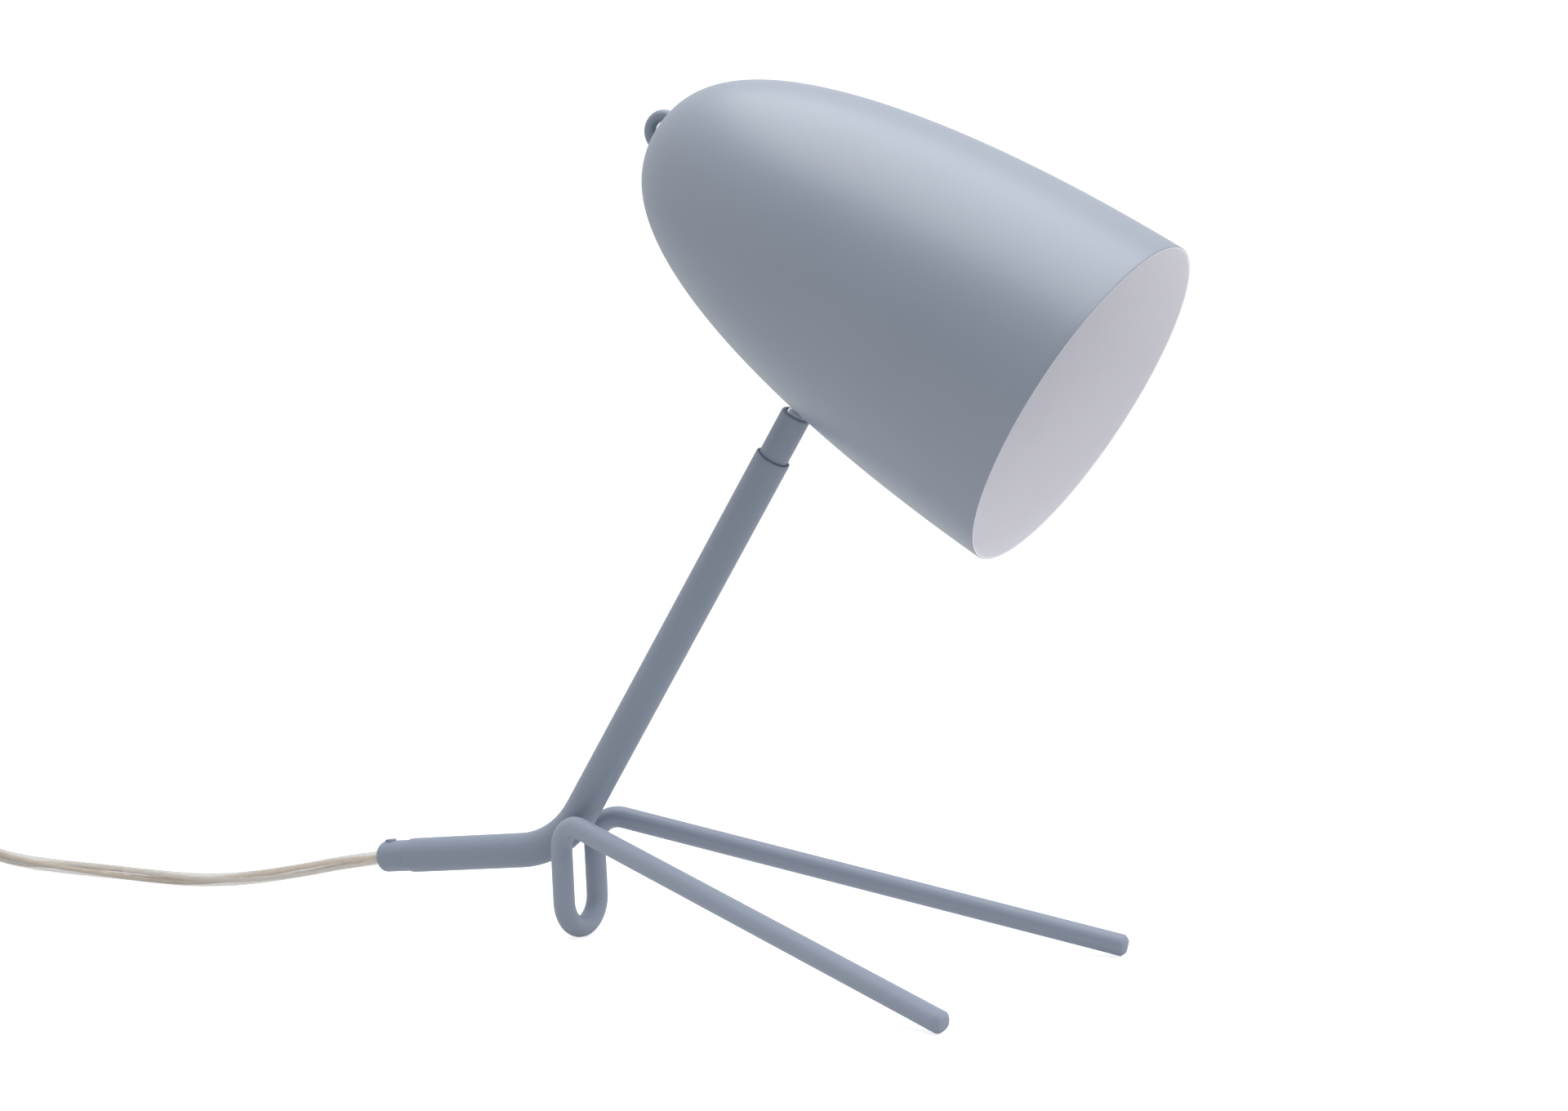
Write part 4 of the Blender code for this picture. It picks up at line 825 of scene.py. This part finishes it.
def hex_nut(name, bore, flat, low, place, replaced):
    """Hexagon nut with turned-down corners and a chamfered bore."""
    high = low + NUT_H
    lead = 0.35 * MM

    def wave(radius, height, angle):
        if radius < flat * 0.9:
            return radius
        edge = flat / cos((angle % (pi / 3.0)) - pi / 6.0)
        cone = flat * 0.97 + 2.2 * min(height - low, high - height)
        return min(edge, cone)

    outline = [(bore, low + lead), (bore + lead, low)]
    outline += [(flat, low + NUT_H * k / 24) for k in range(25)]
    outline += [(bore + lead, high), (bore, high - lead)]
    piece(turned(name, outline, 96, wave, 28.0), place, ZINC, "shade", "zinc_steel", replaced)


def make_tip_loop():
    """Half-round finger loop with small paint fillets at its two feet."""
    path = straight(Vector((-RING_R, 0.0, -0.25 * MM)), Vector((-RING_R, 0.0, -RING_RISE)), 3)[:-1]
    for i in range(33):
        turn = pi * i / 32
        path.append(Vector((-RING_R * cos(turn), 0.0, -RING_RISE - RING_R * sin(turn))))
    path += straight(Vector((RING_R, 0.0, -RING_RISE)), Vector((RING_R, 0.0, -0.25 * MM)), 3)[1:]
    radii = [RING_BAR + 0.30 * MM, RING_BAR + 0.06 * MM] + [RING_BAR] * (len(path) - 4)
    radii += [RING_BAR + 0.06 * MM, RING_BAR + 0.30 * MM]
    piece(tube("tip_loop_skin", path, radii, 32), on_axis(0.0), ENAMEL, "shade", "body_paint", "tip_loop")
    head = SHADE_WALL + TIP_HEAD_LIFT + GAP
    shank = 1.1 * MM
    low = 0.2 * MM
    for letter, side in (("a", 1.0), ("b", -1.0)):
        slotted_screw("tip_head_" + letter, on_axis(0.0) @ move(side * RING_R, 0.0, 0.0),
                      [(0.0, low), (shank, low), (shank, head), (2.0 * shank, head)], 2.0 * shank,
                      head + 1.4 * MM, 0.6 * MM, ZINC, "shade", "zinc_steel", "tip_screw_" + letter)


def make_bracket():
    """Bent strap from the stud's nut up to the lampholder, with rolled long edges."""
    along = Vector((cos(STUD_TILT), 0.0, -sin(STUD_TILT)))
    seat = STUD_UP * (BALL_DROP + SHADE_WALL + BRACKET_LIFT)
    back = HOLDER_S - BALL_S - GAP - BRACKET_T
    low_front = seat + along * 8.0 * MM
    low_back = seat - along * 9.0 * MM
    rise = Vector((back, 0.0, AXIS_RISE - 21.0 * MM))
    top = Vector((back, 0.0, AXIS_RISE + 8.0 * MM))
    bend = rounded_corner(low_front, low_back, rise, BRACKET_BEND_R, 10)
    line = straight(low_front, bend[0], 4)[:-1] + bend
    line += rounded_corner(low_back, rise, top, BRACKET_BEND_R, 10)
    line += straight(line[-1], top, 12)[1:]
    round_r = BRACKET_T / 2.0
    section = [(BRACKET_W / 2.0 - round_r + r, z) for r, z in arc(0.0, round_r, round_r, -90.0, 90.0, 8)]
    section += [(-y, z) for y, z in reversed(section)]
    rows = []
    for i, point in enumerate(line):
        ahead = heading(line, i)
        face = Vector((ahead.z, 0.0, -ahead.x))
        face = face if face.dot(X + Z) > 0.0 else -face
        rows.append([point + Y * y + face * z for y, z in section])
    strap = piece(lofted("bracket_skin", rows), SHADE_FRAME, ZINC, "shade", "zinc_steel", "holder_bracket")
    drill(strap, STUD_FRAME @ move(0.0, 0.0, BALL_DROP), SHANK_R + GAP, 0.0, 5.0 * MM)
    drill(strap, on_axis(HOLDER_S - 1.0 * MM), NIPPLE_R + GAP, -4.0 * MM, 4.0 * MM, 48)


def make_holder():
    """Threaded nipple and nut, ribbed cap, body with an outside thread, brass shell and centre contact."""
    place = on_axis(HOLDER_S)

    def part(name, outline, material, slot, replaced, sides=72, wave=None):
        piece(turned(name, outline, sides, wave), place, material, "shade", slot, replaced)

    outline = [(NIPPLE_BORE, -NIPPLE_LEN)] + rungs(NIPPLE_R, -NIPPLE_LEN, -GAP, 0.14 * MM)
    outline += [(NIPPLE_BORE, -GAP)]
    part("nipple_skin", outline, ZINC, "zinc_steel", "holder_nipple",
         wave=threaded(-NIPPLE_LEN, -GAP, 1.0 * MM, 0.25 * MM, NIPPLE_R))
    hex_nut("holder_nut_skin", NIPPLE_R + 0.1 * MM, HOLDER_NUT_HALF, -BRACKET_T - 2.0 * GAP - NUT_H, place,
            "holder_nut")

    def ribs(radius, height, angle):
        if radius < HOLDER_R - 0.05 * MM or not 5.0 * MM < height < CAP_LEN - 1.2 * MM:
            return radius
        return radius - 0.35 * MM * (0.5 - 0.5 * cos(30.0 * angle)) ** 2

    floor = 2.5 * MM
    wall = 1.5 * MM
    outline = [(NIPPLE_BORE, 0.0)] + arc(8.0 * MM, 0.4 * MM, 0.4 * MM, -90.0, -60.0, 2)
    outline += arc(HOLDER_R - 3.0 * MM, 3.0 * MM, 3.0 * MM, -70.0, 0.0, 12)
    outline += rungs(HOLDER_R, 4.5 * MM, CAP_LEN - 0.3 * MM, 0.5 * MM)
    outline += [(HOLDER_R - 0.3 * MM, CAP_LEN), (HOLDER_R - wall, CAP_LEN), (HOLDER_R - wall, floor),
                (NIPPLE_BORE, floor)]
    part("holder_cap_skin", outline, PLASTIC, "white_plastic", "lampholder_cap", 180, ribs)

    low = CAP_LEN + GAP
    floor = low + SOCKET_FLOOR
    bore = SOCKET_SHELL_R + GAP
    outside = HOLDER_R - 1.0 * MM
    outline = [(2.0 * MM, low)] + rungs(outside, low, HOLDER_LEN - 1.2 * MM, 0.25 * MM)
    outline += arc(outside - 1.2 * MM, HOLDER_LEN - 1.2 * MM, 1.2 * MM, 10.0, 90.0, 6)
    outline += arc(bore + 0.8 * MM, HOLDER_LEN - 0.8 * MM, 0.8 * MM, 90.0, 180.0, 5)
    outline += [(bore, floor), (2.0 * MM, floor)]
    part("holder_body_skin", outline, PLASTIC, "white_plastic", "lampholder_body", 96,
         threaded(low + 3.0 * MM, HOLDER_LEN - 4.0 * MM, 2.0 * MM, 0.5 * MM, outside))

    low_shell = floor + GAP
    high_shell = HOLDER_LEN - 4.0 * MM
    sheet = 0.4 * MM
    outline = [(3.0 * MM, low_shell)] + rungs(SOCKET_SHELL_R, low_shell, high_shell, 0.3 * MM)
    outline += list(reversed(rungs(SOCKET_SHELL_R - sheet, low_shell + sheet, high_shell, 0.3 * MM)))
    outline += [(3.0 * MM, low_shell + sheet)]

    roll = rolled(low_shell + 3.0 * MM, high_shell + sheet, 0.30 * MM, SOCKET_SHELL_R - 1.5 * sheet)
    part("holder_shell_skin", outline, BRASS, "brass", "lampholder_shell", 72, roll)
    tip = low_shell + 2.0 * MM
    outline = [(0.0, low + 2.0 * MM), (1.6 * MM, low + 2.0 * MM), (1.6 * MM, tip - 0.8 * MM)]
    outline += arc(0.6 * MM, tip - 0.8 * MM, 0.8 * MM, 30.0, 90.0, 5) + [(0.0, tip)]
    part("holder_contact_skin", outline, BRASS, "brass", "lampholder_contact", 36)

    start = STUD_UP * (BALL_DROP + SHADE_WALL + STUD_INSIDE + GAP)
    end = Vector((HOLDER_S - BALL_S - NIPPLE_LEN - GAP, 0.0, AXIS_RISE))
    side = Y * 11.5 * MM
    route = [start, start + STUD_UP * 3.5 * MM,
             start + STUD_UP * 11.0 * MM + side * 0.75 + Vector((-6.0, 0.0, 0.0)) * MM,
             Vector((-30.0 * MM, 0.0, AXIS_RISE - 28.0 * MM)) + side * 1.05,
             end + Vector((-9.5, 0.0, -17.0)) * MM + side * 0.7,
             end + Vector((-10.5, 0.0, -6.0)) * MM + side * 0.2, end + Vector((-4.5, 0.0, 0.0)) * MM, end]
    path = smooth_curve(route, 1.0 * MM)
    piece(tube("lead_skin", path, [1.5 * MM] * len(path), 20), SHADE_FRAME, CLEAR, "shade", "clear_cable",
          "holder_lead")
    for name, phase, material in (("lead_copper", 0.0, COPPER), ("lead_tinned", pi, TINNED)):
        data = tube(name, path, [0.5 * MM] * len(path), 12, lobes=(5, 0.2), twist=60.0,
                    shift=twisted(0.62 * MM, 40.0 * MM, phase))
        piece(data, SHADE_FRAME, material, "shade", "clear_cable")


def make_bulb():
    """Round opal bulb: hollow glass on a rolled screw cap with its insulator and solder point."""
    place = on_axis(BULB_TIP_S)
    low = HOLDER_S + CAP_LEN + SOCKET_FLOOR + 2.0 * MM + 3.0 * GAP - BULB_TIP_S
    neck_z = low + BULB_CAP_LEN
    solder_r = 2.4 * MM
    solder = [(r, low + 0.7 * z) for r, z in arc(0.0, solder_r, solder_r, -90.0, -35.0, 6)]
    outline = [(0.0, low)] + solder[1:] + [(solder_r, low + 0.9 * MM)]
    glass_from = len(outline) - 1
    outline += [(2.7 * MM, low + 1.2 * MM), (BULB_CAP_R - 1.7 * MM, low + 2.5 * MM)]
    metal_from = len(outline) - 1
    outline += [(BULB_CAP_R - 1.3 * MM, low + 2.8 * MM), (BULB_CAP_R - 0.2 * MM, low + 4.0 * MM)]
    outline += rungs(BULB_CAP_R, low + 4.4 * MM, neck_z - 3.0 * MM, 0.28 * MM)
    outline += [(BULB_CAP_R + 0.15 * MM, neck_z - 2.6 * MM), (BULB_CAP_R + 0.4 * MM, neck_z - 2.0 * MM),
                (BULB_CAP_R + 0.4 * MM, neck_z - 0.2 * MM), (BULB_CAP_R + 0.2 * MM, neck_z), (0.0, neck_z)]

    roll = rolled(low + 4.5 * MM, neck_z - 3.2 * MM, 0.45 * MM, BULB_CAP_R - 0.01 * MM)
    bands = [0] * glass_from + [1] * (metal_from - glass_from) + [0] * (len(outline) - metal_from)
    piece(turned("bulb_cap_skin", outline, 72, roll, finishes=bands), place, (BULB_METAL, SLEEVE), "bulb",
          "bulb_metal", "bulb_cap")

    wall = 0.9 * MM
    ball = arc(0.0, -BULB_R, BULB_R, 90.0, -56.0, 64)[1:]
    last = Vector(ball[-1])
    foot = Vector((BULB_CAP_R - 0.4 * MM, neck_z + GAP))
    flare = []
    for i in range(1, 13):
        f = i / 12.0
        flare.append((last.x + (foot.x - last.x) * (1.0 - (1.0 - f) ** 2.4), last.y + (foot.y - last.y) * f))
    inside = [(r - wall, z) for r, z in reversed(flare)]
    inside += arc(0.0, -BULB_R, BULB_R - wall, -56.0, 90.0, 48)[:-1] + [(0.0, -wall)]
    outline = [(0.0, 0.0)] + ball + flare + inside
    piece(turned("bulb_glass_skin", outline, 96), place, OPAL, "bulb", "opal_glass", "bulb_glass")


# ---- switch, tie and plug

SWITCH_MID = Vector(CORD_ROUTE[-1]) * MM + SWITCH_AHEAD * (SWITCH_LEN / 2.0 + GAP)
SWITCH_FRAME = basis(SWITCH_AHEAD, Z, Vector((SWITCH_MID.x, SWITCH_MID.y, 0.0)))
SWITCH_TOP = SWITCH_LOW + GAP + SWITCH_HIGH


def switch_plan(inset):
    """Plan of the housing, drawn in by inset: straight sides that narrow towards both cord ends."""
    half = SWITCH_LEN / 2.0
    wide = SWITCH_W / 2.0
    corner = []
    for i in range(25):
        f = i / 24.0
        corner.append((half - SWITCH_TAPER * (1.0 - f) ** 1.5,
                       SWITCH_END_HALF + (wide - SWITCH_END_HALF) * (1.0 - f ** 2.2)))
    outline = []
    for sx, sy in ((1.0, 1.0), (-1.0, 1.0), (-1.0, -1.0), (1.0, -1.0)):
        part = [(sx * x, sy * y) for x, y in corner]
        outline += part if sx * sy < 0.0 else part[::-1]
    return [(x * (1.0 - inset / half), y * (1.0 - inset / wide)) for x, y in outline]


def slab(name, levels):
    """Stack of plans from (inset, height) levels, closed below and above."""
    return lofted(name, [[(x, y, z) for x, y in switch_plan(inset)] for inset, z in levels], 30.0)


def make_switch():
    """Two-part housing with a rocker in its top, cord mouths at both ends and two screws below."""
    soft_r = 1.6 * MM
    soft = [(soft_r * (1.0 - sin(radians(a))), soft_r * (1.0 - cos(radians(a)))) for a in range(0, 91, 15)]
    line = 0.25 * MM
    lower = [(inset, z) for inset, z in soft] + [(0.0, SWITCH_LOW - line), (line, SWITCH_LOW)]
    upper = [(line, SWITCH_LOW + GAP), (0.0, SWITCH_LOW + GAP + line)]
    upper += [(inset, SWITCH_TOP - z) for inset, z in reversed(soft)]
    low, top = [piece(slab(name, levels), SWITCH_FRAME, PLASTIC, "base", "white_plastic", replaced)
                for name, levels, replaced in (("switch_low_skin", lower, "switch_lower"),
                                               ("switch_top_skin", upper, "switch_upper"))]
    well = box_mesh((16.6 * MM, 9.6 * MM, 12.0 * MM), (0.0, 0.0, SWITCH_TOP), 0.6 * MM)
    well.transform(SWITCH_FRAME)
    carve(top, well)
    reach = SWITCH_LEN / 2.0 + 2.0 * MM
    for x in (-1.0, 1.0):
        mouth = move(x * (SWITCH_LEN / 2.0 - 8.0 * MM), 0.0, SPLIT_Z * MM)
        mouth = SWITCH_FRAME @ mouth @ spin(x * pi / 2.0, "Y")
        for half in (low, top):
            drill(half, mouth, CORD_R + 0.15 * MM, -7.0 * MM, reach)
    head_r = 1.7 * MM
    for letter, x in (("a", -17.0 * MM), ("b", 17.0 * MM)):
        drill(low, SWITCH_FRAME @ move(x, 0.0, 0.0), head_r + GAP, -1.0 * MM, 2.2 * MM)
        upside = SWITCH_FRAME @ move(x, 0.0, 2.4 * MM) @ spin(pi, "X")
        slotted_screw("housing_screw_" + letter, upside, [(0.0, 0.5 * MM), (head_r, 0.5 * MM)], head_r,
                      1.9 * MM, 0.3 * MM, ZINC, "base", "zinc_steel", "switch_screw_" + letter)


def make_rocker():
    """Rocker with a hollow top, pressed down at one end."""
    section = [(-1.0, -2.2), (1.0, -2.2)]
    for i in range(33):
        f = 1.0 - i / 16.0
        section.append((f * (1.0 - 0.03 * (abs(f) > 0.99)), 1.3 + 1.7 * abs(f) ** 1.6))
    edge = 0.5 * MM
    sides = [(ROCKER_WIDE, edge), (ROCKER_WIDE - 0.15 * MM, 0.4 * edge), (ROCKER_WIDE - edge, 0.0)]
    rows = []
    for y, shrink in [(-y, shrink) for y, shrink in sides] + sides[::-1]:
        rows.append([(x * (ROCKER_HALF - shrink), y, z * MM - shrink * (z > 0.0)) for x, z in section])
    pivot = SWITCH_FRAME @ move(0.0, 0.0, SWITCH_TOP - 1.6 * MM)
    piece(lofted("rocker_skin", rows, 30.0), pivot @ spin(ROCKER_LEAN, "Y"), ROCKER, "rocker",
          "rocker_plastic", "switch_rocker")


def make_tie():
    """Hook strap once round the coil's cords, its end lapped over on top."""
    corner = 3.0 * MM
    top = COIL_LOW + COIL_H

    right = COIL_HALF - corner
    left = -COIL_HALF - TIE_SLACK + corner

    def loop(grown):
        ring = []
        for x, z, start in ((right, COIL_LOW + corner, -90.0), (right, top - corner, 0.0),
                            (left, top - corner, 90.0), (left, COIL_LOW + corner, 180.0)):
            ring += arc(x, z, corner + grown, start, start + 90.0, 12)
        return ring

    place = Matrix.Translation(COIL_CENTRE) @ spin(TIE_ANGLE, "Z")
    place = place @ move(COIL_MID_R, 0.0, 0.0)
    half = TIE_W / 2.0
    soft = 0.25 * MM
    outside = GAP + TIE_T
    rows = []
    for grown, y in ((GAP, -half + soft), (GAP + soft, -half), (outside - soft, -half),
                     (outside, -half + soft), (outside, half - soft), (outside - soft, half),
                     (GAP + soft, half), (GAP, half - soft)):
        rows.append([(x, y, z) for x, z in loop(grown)])
    piece(lofted("tie_skin", rows, joined=True), place, STRAP, "base", "tie_strap", "coil_tie")

    lap = [Vector((x, 0.0, z)) for x, z in loop(outside)][14:36]
    edge = [(half - soft, 0.05), (half, 0.35), (half, 0.75), (half - soft, 1.0)]
    rows = []
    for i, point in enumerate(lap):
        out = Y.cross(heading(lap, i))
        thick = 0.75 * TIE_T * min(1.0, 0.45 + i * 0.3, 0.45 + (len(lap) - 1 - i) * 0.3)
        rows.append([point + Y * y + out * z * thick
                     for y, z in [(-y, z) for y, z in edge] + edge[::-1]])
    piece(lofted("tie_lap", rows), place, STRAP, "base", "tie_strap")


def make_plug():
    """Flat two-pin plug: segmented strain relief, ribbed grip, pins sleeved at their roots."""
    place = basis(Z, PLUG_AHEAD, TAIL_END + PLUG_AHEAD * GAP)
    edge = 1.0 * MM
    face = RELIEF_LEN + PLUG_LEN
    half_t, half_w = PLUG_T / 2.0, PLUG_W / 2.0
    stations = [(0.0, 3.6 * MM, 3.6 * MM), (RELIEF_LEN * 0.5, 4.3 * MM, 4.6 * MM),
                (RELIEF_LEN, 5.4 * MM, 6.2 * MM), (RELIEF_LEN + 5.0 * MM, 6.4 * MM, 9.0 * MM),
                (RELIEF_LEN + 12.0 * MM, half_t, half_w - 0.8 * MM), (face - edge, half_t, half_w)]
    sides = 96
    steps = 130
    levels = []
    for i in range(steps + 1):
        d = (face - edge) * i / steps
        k = max(j for j in range(len(stations) - 1) if stations[j][0] <= d + 1e-9)
        f = (d - stations[k][0]) / (stations[k + 1][0] - stations[k][0])
        f = f * f * (3.0 - 2.0 * f) if k > 1 else f
        thick = stations[k][1] + (stations[k + 1][1] - stations[k][1]) * f
        wide = stations[k][2] + (stations[k + 1][2] - stations[k][2]) * f
        groove = 0.0
        if 2.0 * MM < d < RELIEF_LEN - 2.0 * MM:
            groove = 0.8 * MM * max(0.0, cos(TAU * d / RELIEF_PITCH)) ** 2
        if RELIEF_LEN + 13.0 * MM < d < face - 5.0 * MM:
            groove = 0.45 * MM * max(0.0, cos(TAU * d / GRIP_PITCH)) ** 2
        levels.append((d, thick - groove, wide - groove))
    for j in range(1, 7):
        a = pi / 2.0 * j / 6
        shrink = edge * (1.0 - cos(a))
        levels.append((face - edge + edge * sin(a), half_t - shrink, half_w - shrink))
    rows = []
    for d, thick, wide in levels:
        power = 1.0 - 0.4 * min(1.0, max(0.0, (d - RELIEF_LEN * 0.5) / (RELIEF_LEN * 0.6)))
        row = []
        for k in range(sides):
            angle = TAU * (k + 0.5) / sides
            x = copysign(abs(cos(angle)) ** power, cos(angle)) * thick
            y = copysign(abs(sin(angle)) ** power, sin(angle)) * wide
            row.append((x, y, d))
        rows.append(row)
    piece(lofted("plug_skin", rows), place, PLASTIC, "base", "white_plastic", "plug_body")

    tip = face + PIN_LEN
    sleeve = 10.0 * MM
    bare_r = PIN_R - 0.12 * MM
    outline = [(0.0, face - edge), (PIN_R, face - edge), (PIN_R, face + sleeve - 0.15 * MM),
               (PIN_R - 0.15 * MM, face + sleeve), (bare_r, face + sleeve + 0.05 * MM),
               (bare_r, tip - 1.9 * MM)]
    outline += arc(0.0, tip - bare_r, bare_r, 2.0, 88.0, 14) + [(0.0, tip)]
    bands = [1] * 3 + [0] * len(outline)
    for letter, side in (("a", 1.0), ("b", -1.0)):
        spot = place @ move(0.0, side * PIN_PITCH / 2.0, 0.0)
        piece(turned("pin_skin_" + letter, outline, 48, finishes=bands), spot, (NICKEL, SLEEVE), "base",
              "nickel_pin", "plug_pin_" + letter)


# ---- stage and light

def make_stage():
    """Pale floor, white surroundings, and soft boxes above and to the right."""
    SCENE.view_settings.view_transform = "Standard"
    bpy.ops.mesh.primitive_plane_add(size=14.0, location=(0.0, 0.0, -0.0002))
    floor = bpy.context.object
    floor.name = "floor"
    material = bpy.data.materials.new("floor")
    material.use_nodes = True
    shader = material.node_tree.nodes["Principled BSDF"]
    put(shader, Base_Color=(0.50, 0.50, 0.50, 1.0), Roughness=0.9, Emission_Color=(1.0, 1.0, 1.0, 1.0))
    seen = node(material.node_tree, "LightPath")
    glow = node(material.node_tree, "MapRange", To_Min=0.27, To_Max=0.75)
    wire(seen, "Is Camera Ray", glow, "Value")
    wire(glow, "Result", shader, "Emission Strength")
    floor.data.materials.append(material)

    world = bpy.data.worlds.new("studio")
    SCENE.world = world
    world.use_nodes = True
    tree = world.node_tree
    background = tree.nodes["Background"]
    rays = node(tree, "LightPath")
    place = node(tree, "TexCoord")
    front = node(tree, "VectorMath")
    front.operation = "DOT_PRODUCT"
    front.inputs[1].default_value = (0.50, -0.85, 0.05)
    wire(place, "Generated", front, 0)
    shade = node(tree, "MapRange", From_Min=0.0, From_Max=0.9, To_Min=0.82, To_Max=0.15)
    shade.interpolation_type = "SMOOTHSTEP"
    wire(front, "Value", shade, "Value")
    seen = node(tree, "Mix")
    seen.data_type = "FLOAT"
    put(seen, B=1.1)
    wire(rays, "Is Camera Ray", seen, "Factor")
    wire(shade, "Result", seen, "A")
    wire(seen, "Result", background, "Strength")
    put(background, Color=(1.0, 1.0, 1.0, 1.0))

    aim = Vector((0.0, 0.0, 0.12))
    for name, spot, size, watts in (("top", (0.13, 0.02, 1.42), 1.6, 17.5),
                                    ("right", (1.6, -0.3, 1.0), 1.2, 6.0)):
        data = bpy.data.lights.new(name, "AREA")
        data.shape = "SQUARE"
        data.size = size
        data.energy = watts
        light = bpy.data.objects.new(name, data)
        light.location = spot
        light.rotation_euler = (aim - Vector(spot)).to_track_quat("-Z", "Y").to_euler()
        SCENE.collection.objects.link(light)


make_camera()
make_stem()
make_legs()
make_welds()
make_gland()
make_neck()
make_shade()
make_stud()
make_tip_loop()
make_bracket()
make_holder()
make_bulb()
make_switch()
make_rocker()
make_tie()
make_plug()
make_cord()
make_stage()

# Pieces sealed inside keep their plain meshes.
for name, material in (("seat_spring", ZINC), ("ball_seat", NYLON), ("stem_cable", CLEAR)):
    cad = frame["nodes"][name]
    cad.data.materials.clear()
    cad.data.materials.append(material)
